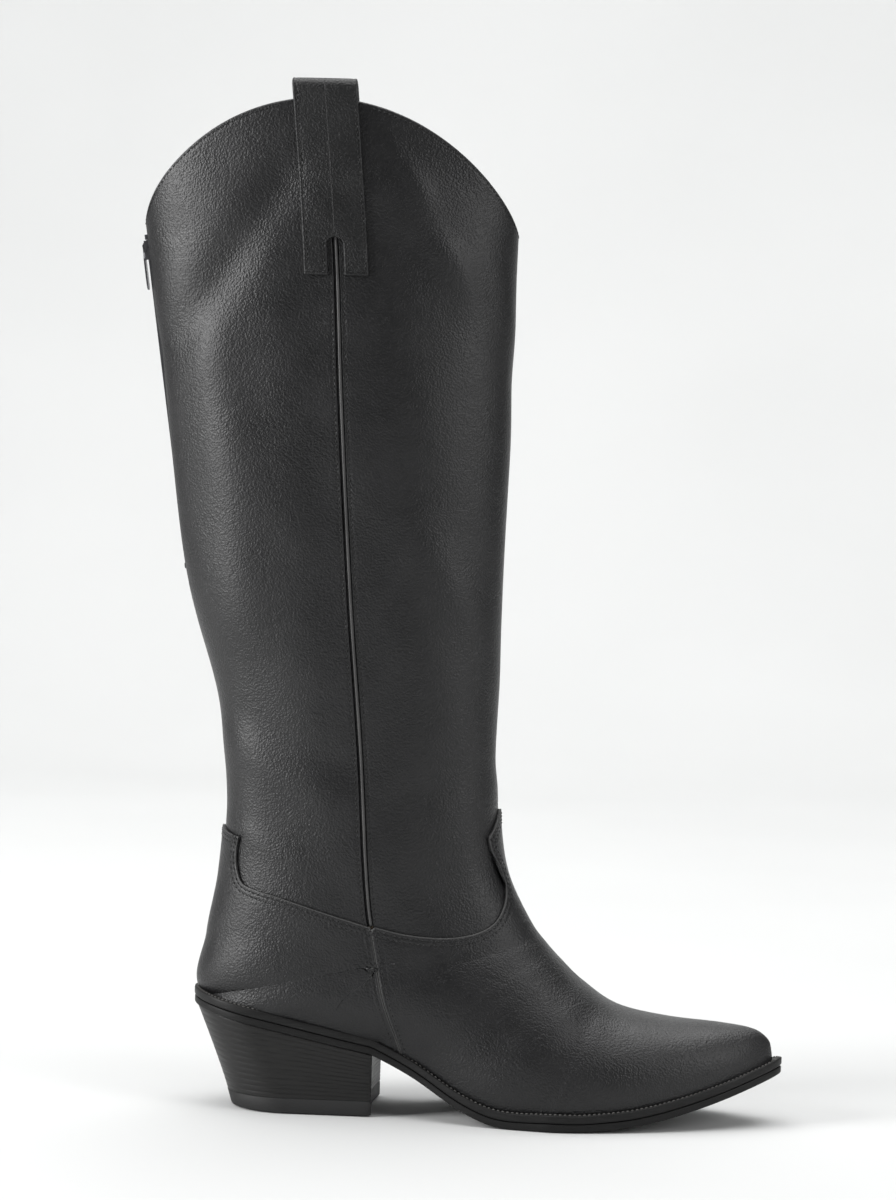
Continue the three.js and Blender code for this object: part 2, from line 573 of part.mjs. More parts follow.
function addSole() {
  const outsole = plate({ inset: 0, low: soleBottom, high: (x) => soleBottom(x) + OUTSOLE_THICKNESS });
  piece('outsole', drilled(outsole), 'rubber');
  const whole = plate({ inset: 0, low: weltLow, high: seatTop });
  const hollow = plate({ inset: WELT_WIDTH, low: (x) => weltLow(x) - 3, high: (x) => seatTop(x) + 3 });
  piece('welt', drilled(whole.subtract(hollow)), 'rubber');
  const fillerInset = WELT_WIDTH + FILLER_CLEARANCE;
  const bed = { low: weltLow, high: seatTop };
  piece('forefoot_filler', plate({ inset: fillerInset, from: SHANK_FRONT + SEAM_GAP, ...bed }), 'cork');
  const heelBoard = plate({ inset: fillerInset, to: SHANK_FRONT, low: weltLow,
    high: (x) => seatTop(x) - SHANK_THICKNESS - SEAM_GAP });
  piece('heel_seat_board', drilled(heelBoard), 'board');
  const shank = plate({ inset: fillerInset, from: SHANK_BACK, to: SHANK_FRONT - 2, lateral: SHANK_WIDTH / 2,
    medial: SHANK_WIDTH / 2, low: (x) => seatTop(x) - SHANK_THICKNESS, high: seatTop });
  piece('steel_shank', drilled(shank), 'steel');
}

// Top of a fastener's head, sunk level with the insole board.
const headTop = (x, headRadius) => insoleHigh(x + headRadius);

function addInsole() {
  let board = drilled(plate({ inset: INSOLE_INSET, low: insoleLow, high: insoleHigh }));
  const pocket = (x, y, headRadius) => cylinder(x, y, headRadius + SEAM_GAP,
    headTop(x, headRadius) - FASTENER_HEAD - SEAM_GAP, 90);
  for (const [x, y] of NAILS) board = board.subtract(pocket(x, y, NAIL_HEAD_RADIUS));
  board = board.subtract(pocket(...SCREW, SCREW_HEAD_RADIUS));
  piece('insole_board', board, 'board');
  const padLow = (x) => insoleHigh(x) + SEAM_GAP;
  piece('heel_pad', plate({ inset: INSOLE_INSET + PAD_MARGIN, to: PAD_FRONT, low: padLow,
    high: (x) => padLow(x) + HEEL_PAD_THICKNESS }), 'foam');
  const padRoom = stepped(through([[PAD_FRONT, HEEL_PAD_THICKNESS + SEAM_GAP], [PAD_FRONT + PAD_FADE, 0]]));
  const sockLow = (x) => insoleHigh(x) + SEAM_GAP + padRoom(x);
  piece('sock_liner', plate({ inset: SOCK_INSET, low: sockLow, high: (x) => sockLow(x) + SOCK_THICKNESS }),
    'lining');
}

// ---------------------------------------------------------------- heel
const HEEL_STEPS = 12;

// Plan outline of the heel at a share of its height, drawn in by an inset: round at the back,
// straight sides, and a breast that curves in.
function heelRing(share, inset) {
  const back = THREE.MathUtils.lerp(HEEL_BACK, SOLE_BACK + 1.5, share ** 1.25) + inset;
  const half = THREE.MathUtils.lerp(HEEL_HALF, HEEL_SEAT_HALF, share) - inset;
  const front = HEEL_FRONT - inset;
  const roundCentre = back + half;
  const ring = [];
  const sideSteps = 3;
  for (let i = 0; i < sideSteps; i += 1) {
    ring.push([THREE.MathUtils.lerp(front, roundCentre, i / sideSteps), half]);
  }
  for (let i = 0; i <= HEEL_STEPS; i += 1) {
    const angle = Math.PI / 2 + (Math.PI * i) / HEEL_STEPS;
    ring.push([roundCentre + half * Math.cos(angle), half * Math.sin(angle)]);
  }
  for (let i = 1; i < sideSteps; i += 1) {
    ring.push([THREE.MathUtils.lerp(roundCentre, front, i / sideSteps), -half]);
  }
  const breastSteps = 6;
  for (let i = 0; i < breastSteps; i += 1) {
    const y = THREE.MathUtils.lerp(-half, half, i / breastSteps);
    ring.push([front - BREAST_HOLLOW * (1 - (y / half) ** 2), y]);
  }
  return ring;
}

// A solid stacked from heel outlines between two heights, each of which may vary along X. It can
// be carried on straight beyond both ends, to cut with.
function heelSolid({ inset, low, high, from, to, steps, beyond = 0 }) {
  const rings = [];
  for (let i = 0; i <= steps; i += 1) {
    const share = i / steps;
    const outline = heelRing(THREE.MathUtils.lerp(from, to, share), inset);
    const ring = outline.map(([x, y]) => new THREE.Vector3(x, y, THREE.MathUtils.lerp(low(x), high(x), share)));
    const shifted = (rise) => ring.map((point) => point.clone().setZ(point.z + rise));
    if (beyond && i === 0) rings.push(shifted(-beyond));
    rings.push(ring);
    if (beyond && i === steps) rings.push(shifted(beyond));
  }
  const quads = new Quads();
  const count = rings[0].length;
  const last = rings.length - 1;
  for (let i = 0; i < last; i += 1) {
    for (let j = 0; j < count; j += 1) {
      const k = (j + 1) % count;
      quads.add(rings[i][j], rings[i][k], rings[i + 1][k], rings[i + 1][j]);
    }
  }
  const bottom = new THREE.Vector3(0, 0, low(0) - beyond);
  const top = new THREE.Vector3(0, 0, high(0) + beyond);
  for (let j = 0; j < count; j += 1) {
    const k = (j + 1) % count;
    quads.addTriangle(bottom, rings[0][k], rings[0][j]);
    quads.addTriangle(top, rings[last][j], rings[last][k]);
  }
  return quads.solid();
}

const level = (height) => () => height;
const heelTop = (x) => soleBottom(x) - SEAM_GAP;
const LIFT_SHARE = TOP_LIFT_THICKNESS / HEEL_HEIGHT;

function addHeel() {
  const lift = heelSolid({ inset: 0, low: level(0), high: level(TOP_LIFT_THICKNESS), from: 0, to: LIFT_SHARE,
    steps: 1 });
  piece('heel_top_lift', lift, 'rubber');
  const base = level(TOP_LIFT_THICKNESS + SEAM_GAP);
  const body = { low: base, high: heelTop, from: LIFT_SHARE, to: 1, steps: 5 };
  const outer = heelSolid({ ...body, inset: 0 });
  const room = heelSolid({ ...body, inset: HEEL_WRAP_THICKNESS, beyond: 3 });
  piece('heel_wrap', outer.subtract(room), 'stack');
  const core = heelSolid({ ...body, inset: HEEL_WRAP_THICKNESS + SEAM_GAP });
  const bores = block([-200, -WIDE, CORE_BORE_FLOOR], [200, WIDE, 200]);
  const undrilled = core.subtract(bores);
  piece('heel_core', drilled(core.intersect(bores)).add(undrilled), 'plastic');
}

function fastener({ radius, headRadius, headHeight, length, top }) {
  const profile = [[0, 0], [headRadius, 0], [headRadius, -headHeight], [radius, -headHeight],
    [radius, -length + radius * 2], [0, -length]];
  const points = profile.map(([r, z]) => new THREE.Vector2(r, z)).reverse();
  const geometry = new THREE.LatheGeometry(points, 10);
  geometry.rotateX(Math.PI / 2);
  geometry.translate(0, 0, top);
  return asSolid(geometry);
}

function addFasteners() {
  NAILS.forEach(([x, y], i) => {
    const nail = fastener({ radius: NAIL_RADIUS, headRadius: NAIL_HEAD_RADIUS, headHeight: FASTENER_HEAD,
      length: NAIL_LENGTH, top: headTop(x, NAIL_HEAD_RADIUS) });
    piece(`heel_nail_${i + 1}`, nail.translate([x, y, 0]), 'steel');
  });
  const screw = fastener({ radius: SCREW_RADIUS, headRadius: SCREW_HEAD_RADIUS, headHeight: FASTENER_HEAD,
    length: SCREW_LENGTH, top: headTop(SCREW[0], SCREW_HEAD_RADIUS) });
  piece('heel_screw', screw.translate([...SCREW, 0]), 'steel');
}

// ---------------------------------------------------------------- pull straps
// Half width of the leg at a point seen from the side.
function legHalf(x, z) {
  const section = sectionAt(placeAtHeight(z));
  const centre = (section.front[0] + section.rear[0]) / 2;
  const reach = (section.front[0] - section.rear[0]) / 2;
  const share = Math.min(1, Math.abs(x - centre) / reach);
  return section.lateral.wide * (1 - share ** section.power) ** (1 / section.power);
}

// Middle of the strap's thickness, from its outside end over the topline to its inside end:
// distance out from the leg's surface, and height.
function strapPath() {
  const outside = SEAM_GAP + STRAP_THICKNESS / 2;
  const inside = LINING_IN - 2 * SEAM_GAP - STRAP_THICKNESS / 2;
  const spread = 1.1;
  const foldRadius = (outside - inside) / 2 + spread;
  const middle = (outside + inside) / 2;
  const foldHeight = STRAP_TOP - STRAP_THICKNESS / 2 - foldRadius;
  const spreadHeight = STRAP_TOP - 12;
  const path = [[outside, STRAP_BOTTOM], [outside, STRAP_TOP - 65], [outside, STRAP_TOP - 38],
    [outside, STRAP_TOP - 20], [outside + spread / 2, spreadHeight]];
  const foldSteps = 8;
  for (let i = 0; i <= foldSteps; i += 1) {
    const angle = (Math.PI * i) / foldSteps;
    path.push([middle + foldRadius * Math.cos(angle), foldHeight + foldRadius * Math.sin(angle)]);
  }
  path.push([inside - spread / 2, spreadHeight], [inside, STRAP_TOP - 20], [inside, STRAP_TOP - 35],
    [inside, STRAP_INSIDE_END]);
  return path;
}

function strapSolid(side) {
  const path = strapPath();
  const columns = 4;
  const rows = path.map(([out, z], i) => {
    const before = path[Math.max(i - 1, 0)];
    const after = path[Math.min(i + 1, path.length - 1)];
    const run = new THREE.Vector2(after[0] - before[0], after[1] - before[1]).normalize();
    const facing = new THREE.Vector2(run.y, -run.x);
    const row = [];
    for (let j = 0; j <= columns; j += 1) {
      const axis = seamAt(z);
      const x = axis + (j / columns - 0.5) * STRAP_WIDTH;
      const pair = [1, -1].map((face) => {
        const reach = out + facing.x * face * (STRAP_THICKNESS / 2);
        const height = z + facing.y * face * (STRAP_THICKNESS / 2);
        return new THREE.Vector3(x, side * (legHalf(x, Math.min(z, STRAP_TOP - 10)) + reach), height);
      });
      row.push(pair);
    }
    return row;
  });
  const quads = new Quads();
  const put = (a, b, c, d) => (side < 0 ? quads.add(a, b, c, d) : quads.add(d, c, b, a));
  const end = path.length - 1;
  for (let i = 0; i < end; i += 1) {
    const [here, next] = [rows[i], rows[i + 1]];
    for (let j = 0; j < columns; j += 1) {
      put(here[j][0], here[j + 1][0], next[j + 1][0], next[j][0]);
      put(here[j][1], next[j][1], next[j + 1][1], here[j + 1][1]);
    }
    put(here[0][1], here[0][0], next[0][0], next[0][1]);
    put(here[columns][0], here[columns][1], next[columns][1], next[columns][0]);
  }
  for (let j = 0; j < columns; j += 1) {
    put(rows[0][j][0], rows[0][j][1], rows[0][j + 1][1], rows[0][j + 1][0]);
    put(rows[end][j][0], rows[end][j + 1][0], rows[end][j + 1][1], rows[end][j][1]);
  }
  return quads.solid();
}

function addStraps() {
  const half = STRAP_NOTCH_WIDTH / 2;
  const notch = [];
  const archHeight = STRAP_BOTTOM + STRAP_NOTCH_HEIGHT - half;
  for (let i = 0; i <= 8; i += 1) {
    const angle = (Math.PI * i) / 8;
    notch.push([seamAt(archHeight) + half * Math.cos(angle), archHeight + half * Math.sin(angle)]);
  }
  const foot = STRAP_BOTTOM - 5;
  notch.push([seamAt(foot) - half, foot], [seamAt(foot) + half, foot]);
  const cut = prism(notch);
  piece('pull_strap_outer', strapSolid(-1).subtract(cut), 'strap');
  piece('pull_strap_inner', strapSolid(1).subtract(cut), 'strap');
}

// ---------------------------------------------------------------- zip
// The zip is built in its own frame: local Z runs up the teeth, local X points into the boot.
const backLineX = (z) => SECTIONS[3].rear[0] - (z - SECTIONS[3].rear[1]) * ZIP_SLOPE;
const ZIP_RUN = (ZIP_TOP - ZIP_BOTTOM) * Math.hypot(1, ZIP_SLOPE);
const zip = new THREE.Group();
zip.position.set(backLineX(ZIP_TOP), 0, ZIP_TOP);
zip.rotation.y = -Math.atan(ZIP_SLOPE);
boot.add(zip);

function addTapes() {
  const tape = layer(LINING_OUT - TAPE_THICKNESS, LINING_OUT);
  const run = (from, to) => block([-200, from, ZIP_BOTTOM - TAPE_EXTRA], [0, to, ZIP_TOP + TAPE_RISE]);
  piece('zip_tape_outer', tape.intersect(run(-TAPE_HALF, -SEAM_GAP)), 'tape');
  piece('zip_tape_inner', tape.intersect(run(SEAM_GAP, TAPE_HALF)), 'tape');
}

// One row of teeth: a bead with a tooth at each pitch that reaches across the centre.
function teethRow(side, name) {
  const edge = TEETH_HALF - TEETH_BEAD;
  const shape = new THREE.Shape();
  const first = side < 0 ? 0 : TOOTH_PITCH / 2;
  shape.moveTo(TEETH_HALF, -ZIP_RUN);
  shape.lineTo(TEETH_HALF, 0);
  shape.lineTo(edge, 0);
  const count = Math.floor((ZIP_RUN - 3) / TOOTH_PITCH);
  for (let i = 0; i < count; i += 1) {
    const z = -1 - first - i * TOOTH_PITCH;
    shape.lineTo(edge, z);
    shape.lineTo(-TOOTH_REACH, z);
    shape.lineTo(-TOOTH_REACH, z - TOOTH_SIZE);
    shape.lineTo(edge, z - TOOTH_SIZE);
  }
  shape.lineTo(edge, -ZIP_RUN);
  const geometry = new THREE.ExtrudeGeometry(shape, { depth: TEETH_THICKNESS, bevelEnabled: false });
  // Shape X becomes local Y on the given side, shape Y becomes local Z, depth becomes local X.
  geometry.applyMatrix4(new THREE.Matrix4().makeBasis(
    new THREE.Vector3(0, side, 0),
    new THREE.Vector3(0, 0, 1),
    new THREE.Vector3(side, 0, 0),
  ));
  geometry.translate(side < 0 ? TEETH_THICKNESS - TEETH_PROUD : -TEETH_PROUD, 0, 0);
  piece(name, geometry, 'steel', zip);
}

function addStops() {
  const depth = [-TEETH_PROUD - STOP_PROUD, TEETH_THICKNESS - TEETH_PROUD];
  const base = SEAM_GAP;
  piece('zip_top_stop_outer', block([depth[0], -TEETH_HALF, base], [depth[1], -0.4, base + STOP_HEIGHT]),
    'steel', zip);
  piece('zip_top_stop_inner', block([depth[0], 0.4, base], [depth[1], TEETH_HALF, base + STOP_HEIGHT]),
    'steel', zip);
  const foot = -ZIP_RUN - SEAM_GAP;
  piece('zip_bottom_stop', block([depth[0], -TEETH_HALF, foot - STOP_HEIGHT], [depth[1], TEETH_HALF, foot]),
    'steel', zip);
}

// The plate of the slider has a window, and the puller's head turns in it on a bail across it.
const PLATE_IN = -TEETH_PROUD - SEAM_GAP;
const PLATE_OUT = PLATE_IN - SLIDER_PLATE;
const BAIL_X = PLATE_IN - PULLER_HEAD_RADIUS + 0.05;
const BAIL_Z = SLIDER_TOP - BAIL_DROP;
function addSlider() {
  const inner = TEETH_HALF + SEAM_GAP;
  const outer = inner + SLIDER_WALL;
  const low = SLIDER_TOP - SLIDER_LENGTH;
  let body = block([PLATE_OUT, -outer, low], [PLATE_IN, outer, SLIDER_TOP]);
  for (const side of [-1, 1]) {
    const from = Math.min(side * inner, side * outer);
    const to = Math.max(side * inner, side * outer);
    body = body.add(block([PLATE_IN - SLIDER_PLATE / 2, from, low], [0.7, to, SLIDER_TOP]));
  }
  const room = PULLER_HEAD_RADIUS + SEAM_GAP;
  const windowHalf = PULLER_HEAD_WIDTH / 2 + SEAM_GAP;
  body = body.subtract(block([PLATE_OUT - 1, -windowHalf, BAIL_Z - room], [PLATE_IN + 0.1, windowHalf,
    BAIL_Z + room]));
  for (const side of [-1, 1]) {
    const from = Math.min(side * windowHalf, side * (windowHalf + SLIDER_WALL));
    const to = Math.max(side * windowHalf, side * (windowHalf + SLIDER_WALL));
    body = body.add(block([BAIL_X - BAIL_RADIUS, from, BAIL_Z - room], [PLATE_IN, to, BAIL_Z + room]));
  }
  const bar = new THREE.CylinderGeometry(BAIL_RADIUS, BAIL_RADIUS, 2 * windowHalf + SLIDER_WALL, 12);
  bar.translate(BAIL_X, 0, BAIL_Z);
  piece('zip_slider', body.add(asSolid(bar)), 'steel', zip);
}

// The puller lies flat on the slider and the teeth, below the bail.
function addPuller() {
  const eye = BAIL_RADIUS + SEAM_GAP;
  const headHalf = PULLER_HEAD_WIDTH / 2;
  const head = new THREE.CylinderGeometry(PULLER_HEAD_RADIUS, PULLER_HEAD_RADIUS, 2 * headHalf, 14);
  const hole = new THREE.CylinderGeometry(eye, eye, 4 * headHalf, 12);
  const near = PLATE_OUT - SEAM_GAP - BAIL_X;
  const far = near - PULLER_THICKNESS;
  const neckTop = -eye - 0.1;
  let solid = asSolid(head).add(block([far, -headHalf, -PULLER_NECK], [near, headHalf, neckTop]));
  const outline = new THREE.Shape();
  const half = PULLER_WIDTH / 2;
  outline.moveTo(-headHalf, -PULLER_NECK / 2);
  outline.lineTo(-half, -PULLER_NECK);
  outline.lineTo(-half, -PULLER_LENGTH + half);
  outline.absarc(0, -PULLER_LENGTH + half, half, Math.PI, 2 * Math.PI, false);
  outline.lineTo(half, -PULLER_NECK);
  outline.lineTo(headHalf, -PULLER_NECK / 2);
  const tongue = new THREE.ExtrudeGeometry(outline, { depth: PULLER_THICKNESS, bevelEnabled: false,
    curveSegments: 8 });
  tongue.applyMatrix4(new THREE.Matrix4().makeBasis(
    new THREE.Vector3(0, 1, 0),
    new THREE.Vector3(0, 0, 1),
    new THREE.Vector3(1, 0, 0),
  ));
  tongue.translate(far, 0, 0);
  solid = solid.add(asSolid(tongue)).subtract(asSolid(hole));
  const mesh = piece('zip_puller', solid, 'steel', zip);
  mesh.position.set(BAIL_X, 0, BAIL_Z);
}

function addZip() {
  addTapes();
  teethRow(-1, 'zip_teeth_outer');
  teethRow(1, 'zip_teeth_inner');
  addStops();
  addSlider();
  addPuller();
}

addShaft();
addLining();
addOverlays();
addStiffening();
addSole();
addInsole();
addHeel();
addFasteners();
addStraps();
addZip();

export default boot;
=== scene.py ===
"""Knee-high western boot: the visible leather, sole, heel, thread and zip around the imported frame.

Lengths in this script are millimetres until mesh() turns them into metres. +X points to the toe,
-Y to the outer side of the foot, +Z up, and the origin is where the heel stands."""
import math

import bpy
import numpy as np
from mathutils import Matrix, Vector
from mathutils.kdtree import KDTree


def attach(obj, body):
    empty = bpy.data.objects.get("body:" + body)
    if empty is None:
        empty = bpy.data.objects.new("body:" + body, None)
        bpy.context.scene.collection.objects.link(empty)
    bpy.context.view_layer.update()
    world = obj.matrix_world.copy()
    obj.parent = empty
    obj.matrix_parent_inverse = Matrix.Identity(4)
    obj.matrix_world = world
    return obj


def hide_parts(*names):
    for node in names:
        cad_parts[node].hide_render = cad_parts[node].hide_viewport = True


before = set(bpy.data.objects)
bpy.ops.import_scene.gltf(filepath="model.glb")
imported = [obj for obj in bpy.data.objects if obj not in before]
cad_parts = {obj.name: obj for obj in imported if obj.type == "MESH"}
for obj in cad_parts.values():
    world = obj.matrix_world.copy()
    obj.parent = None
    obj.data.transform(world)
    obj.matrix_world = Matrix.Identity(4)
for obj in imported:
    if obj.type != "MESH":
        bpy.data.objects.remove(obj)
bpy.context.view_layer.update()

MM = 0.001
FINE = 1.0

# ------------------------------------------------------------------ driving dimensions
TOPLINE_DIP, TOPLINE_RISE, TOPLINE_POWER = 421.0, 60.0, 1.45
LINING_FACE = -2.6                   # the lining's inner face, from the leg's surface
LINING_BACK = -1.6
SHAFT_BACK = -1.3
OVERLAY_BASE, OVERLAY_FACE = 0.1, 1.7  # vamp and counter, from the leg's surface
OUTSOLE, WELT, BOND = 3.6, 4.0, 0.3
STACK = OUTSOLE + WELT + BOND
WELT_LEDGE = 4.0
FEATHER_INSET = WELT_LEDGE + OVERLAY_FACE
FEATHER_DROP = 3.0
SOLE_BACK, SOLE_TIP = -57.0, 227.0
HEEL_ROUND = 32.0
BALL = {-1: (118.0, 49.5), 1: (128.0, 42.5)}
HEEL_FRONT, HEEL_BACK = 32.0, -38.0
HEEL_HALF, HEEL_SEAT_HALF = 28.0, 30.5
BREAST_HEIGHT, SEAT_BACK_HEIGHT = 29.4, 48.3
BREAST_HOLLOW = 2.0
TOP_LIFT = 7.0
STRAP_WIDTH, STRAP_THICKNESS = 30.5, 2.0
STRAP_BOTTOM, STRAP_TOP, STRAP_INSIDE_END = 398.0, 490.0, 440.0
NOTCH_WIDTH, NOTCH_HEIGHT = 7.6, 18.0
ZIP_BOTTOM, ZIP_SLOT_HALF, TAPE_HALF = 260.0, 3.5, 10.0
SEAM_GROOVE = 1.15                   # half the gap between the leg panels at the side seam
STITCH_PITCH = 2.6
STITCH_SINK = 0.12                   # how far the middle of a stitch lies below the leather's face
SEWN_ROWS = (1.7, 3.9)               # rows of stitches of the vamp and counter, from their edges
EDGE_ROW = 1.8                       # the single row along the edges of the leg's panels and of the strap
STIFFENER_GAP = 5.0                  # how far behind the side seam the stiffener ends
CORNER_CLEARANCE = 0.06              # sections beside the heel seat's corner that keep the mesh's normals


# ------------------------------------------------------------------ curves
def through(pairs):
    """Smooth curve through (x, value) pairs, level beyond both ends."""
    xs = np.array([p[0] for p in pairs], float)
    ys = np.array([p[1] for p in pairs], float)
    last = len(xs) - 1
    low = np.maximum(np.arange(last + 1) - 1, 0)
    high = np.minimum(np.arange(last + 1) + 1, last)
    slopes = (ys[high] - ys[low]) / (xs[high] - xs[low])

    def curve(x):
        c = np.clip(np.asarray(x, float), xs[0], xs[-1])
        i = np.clip(np.searchsorted(xs, c, side="right") - 1, 0, last - 1)
        width = xs[i + 1] - xs[i]
        t = (c - xs[i]) / width
        a, b = ys[i], ys[i + 1]
        rise, fall = slopes[i] * width, slopes[i + 1] * width
        return a + rise * t + (3 * (b - a) - 2 * rise - fall) * t**2 + (2 * (a - b) + rise + fall) * t**3

    return curve


waist = through([(HEEL_FRONT, BREAST_HEIGHT), (52, 19.5), (75, 6.2), (93, 0), (120, 0), (134, 0),
                 (160, 2.8), (190, 10.5), (SOLE_TIP, 23.5)])
seat_slope = (SEAT_BACK_HEIGHT - BREAST_HEIGHT) / (HEEL_FRONT - SOLE_BACK)


def sole_bottom(x):
    x = np.asarray(x, float)
    return np.where(x > HEEL_FRONT, waist(x), BREAST_HEIGHT + seat_slope * (HEEL_FRONT - x))


def seat_top(x):
    return sole_bottom(x) + STACK


side_half = {
    -1: through([(-25, 31), (12, 31), (46, 31), (82, 42), BALL[-1]]),
    1: through([(-25, 31), (12, 29.5), (46, 26.5), (86, 34), BALL[1]]),
}


def sole_half(x, side, inset=0.0):
    """Half width of the sole on one side, drawn in by an inset, with both ends round."""
    x = np.asarray(x, float)
    ball_x, ball_half = BALL[side]
    tip, back = SOLE_TIP - inset, SOLE_BACK + inset
    along = np.clip((x - ball_x) / (tip - ball_x), 0, 1)
    fore = (ball_half - inset) * (1 - along**1.55) ** 0.68
    round_start = SOLE_BACK + HEEL_ROUND
    swing = np.clip((round_start - x) / (round_start - back), 0, 1)
    rear = (side_half[side](x) - inset) * np.sqrt(1 - swing**2)
    return np.where(x > ball_x, fore, rear)


# ------------------------------------------------------------------ the last
CORNER = 8                           # the section that ends at the rear corner of the heel seat
FRONT = [(90, 490), (89, 421), (88.2, 340), (87.2, 258), (85.6, 195), (86.4, 154), (88.2, 132),
         (93, 112), (103.4, 91), (110.6, 81.4), (118.6, 72.8), (129.5, 62.8), (147, 51.8),
         (171, 46.9), (197, 44.7), (212, 42.6), (218.6, 38.6), (220.2, 34.5)]
LEG_REAR = [(-96, 490), (-89.96, 421), (-78.05, 340), (-66, 258), (-49.5, 195), (-44, 148),
            (-45.4, 112), (-50.4, 82), (-51.2, 53)]
SEAT_REAR = [-4, 48, 92, 130, 165, 197, 214, 220.2, 221.25]
WIDTHS = {-1: [37, 37, 38, 36.5, 34, 33.5, 34, 34, 34.5, 36, 38, 44],
          1: [37, 37, 38, 36.5, 34, 33, 33, 33, 33, 33, 34, 38]}
POWERS = [2, 2, 2, 2, 2.05, 2.1, 2.1, 2.15, 2.2, 2.2, 2.15, 2.1, 2.1, 2.2, 2.3, 2.4, 2.4, 2.4]
TOE_END = 17
WALL_BULGE = 1.03
FOREFOOT = 12                        # from this section on the walls follow the outline of the sole



def listed_width(index, side):
    if index < FOREFOOT:
        return WIDTHS[side][index]
    x = SEAT_REAR[index - CORNER - 1]
    return float(sole_half(x, side, FEATHER_INSET)) * WALL_BULGE


rear_points = LEG_REAR + [(x, float(seat_top(x)) - FEATHER_DROP) for x in SEAT_REAR]
front_x = through(list(enumerate(p[0] for p in FRONT)))
front_z = through(list(enumerate(p[1] for p in FRONT)))
rear_x = through(list(enumerate(p[0] for p in rear_points)))
rear_z = through(list(enumerate(p[1] for p in rear_points)))
section_power = through(list(enumerate(POWERS)))
section_half = {side: through([(i, listed_width(i, side)) for i in range(TOE_END + 1)]) for side in (-1, 1)}

leg_places = np.linspace(0, 4, 400)
leg_heights = front_z(leg_places)


def place_at_height(height):
    return np.interp(-np.asarray(height, float), -leg_heights, leg_places)


TOPLINE_BASE = 3.0
BASE_HEIGHT = 258.0


def smooth_step(share):
    share = np.clip(share, 0, 1)
    return share**2 * (3 - 2 * share)


def signed_power(value, power):
    return np.sign(value) * np.abs(value) ** power


def last_point(place, turn):
    """Points of the last. place runs from the topline (0) to the toe, turn from the front ridge (0) to
    the rear on the outer side (-1) or the inner side (1)."""
    place, turn = np.broadcast_arrays(np.asarray(place, float), np.asarray(turn, float))
    rise = TOPLINE_RISE * np.abs(np.sin(turn * np.pi)) ** TOPLINE_POWER
    height = TOPLINE_DIP + rise + (BASE_HEIGHT - TOPLINE_DIP - rise) * place / TOPLINE_BASE
    q = np.where(place < TOPLINE_BASE, place_at_height(height), place)
    seated = q > CORNER
    rx = rear_x(q)
    rz = np.where(q > CORNER + 1, seat_top(rx) - FEATHER_DROP, rear_z(q))
    outer = turn <= 0
    seat = np.where(outer, sole_half(rx, -1, FEATHER_INSET), sole_half(rx, 1, FEATHER_INSET))
    seat = np.where(seated, seat, 0.0)
    listed = np.where(outer, section_half[-1](q), section_half[1](q))
    wide = np.maximum(listed + (seat * WALL_BULGE - listed) * smooth_step(q - FOREFOOT + 1), 0.3)
    power = section_power(q)
    end = np.pi - np.arcsin(np.clip(seat / wide, 0, 1) ** (power / 2))
    angle = np.abs(turn) * end
    share = (1 - signed_power(np.cos(angle), 2 / power)) / (1 - signed_power(np.cos(end), 2 / power))
    x = front_x(q) + (rx - front_x(q)) * share
    z = front_z(q) + (rz - front_z(q)) * share
    y = np.where(outer, -1, 1) * wide * signed_power(np.sin(angle), 2 / power)
    return np.stack([x, y, z], axis=-1)


# Soft folds of the worn leather, seen from the side: from (x, z) to (x, z), width, height, side.
FOLDS = [
    ((-22, 440), (-66, 372), 11, -2.0, -1), ((18, 446), (62, 404), 9, 1.6, -1),
    ((-6, 372), (10, 262), 16, -1.5, -1), ((-48, 352), (-38, 240), 15, 1.7, -1),
    ((48, 330), (58, 214), 18, 1.4, -1), ((-38, 190), (14, 168), 9, -0.6, -1),
    ((-34, 172), (10, 148), 9, 0.6, -1), ((40, 150), (84, 166), 10, -0.5, -1),
    ((-36, 134), (-8, 122), 6, 0.5, -1), ((96, 70), (136, 54), 7, 0.5, -1),
    ((30, 458), (44, 438), 5, 1.1, -1), ((44, 438), (66, 392), 8, 0.9, -1),
    ((-20, 430), (-60, 350), 13, -1.8, 1), ((20, 440), (60, 380), 12, 1.6, 1),
    ((-44, 330), (-34, 220), 16, 1.5, 1), ((44, 320), (56, 200), 18, 1.3, 1),
    ((-34, 180), (30, 148), 9, -1.6, 1), ((-24, 160), (26, 128), 7, 1.2, 1),
    ((30, 140), (82, 168), 9, -1.3, 1), ((0, 300), (12, 230), 16, -1.4, 1),
]


def folds(points):
    """How far the folds push the leather out at each point."""
    x, y, z = points[..., 0], points[..., 1], points[..., 2]
    push = np.zeros_like(x)
    for (ax, az), (bx, bz), width, height, side in FOLDS:
        run = np.array([bx - ax, bz - az], float)
        size = np.hypot(*run)
        run /= size
        along = (x - ax) * run[0] + (z - az) * run[1]
        beside = -(x - ax) * run[1] + (z - az) * run[0]
        beyond = np.maximum(np.maximum(-along, along - size), 0)
        fade = 1 / (1 + np.exp(-side * y / 4.0))
        push += height * fade * np.exp(-(beside / width) ** 2 - (beyond / (1.6 * width)) ** 2)
    waves = (0.50 * np.sin(x / 17 + 1.3 * np.sin(z / 41)) * np.sin(z / 37 + y / 23)
             + 0.28 * np.sin(x / 9 + z / 13 + 1.7 * np.sin(z / 29 + y / 11)))
    calm = np.clip((z - 60) / 60, 0.12, 1) * np.clip((478 - z) / 30, 0.1, 1)
    return (push + waves) * calm


def places_beside(place, step):
    """A little before and after each place, both on the same side of the heel seat's corner."""
    past = place > CORNER
    low = np.where(past, np.maximum(place - step, CORNER + 1e-6), place - step)
    high = np.where(past, place + step, np.minimum(place + step, CORNER))
    return np.clip(low, 0, TOE_END), np.clip(high, 0, TOE_END)


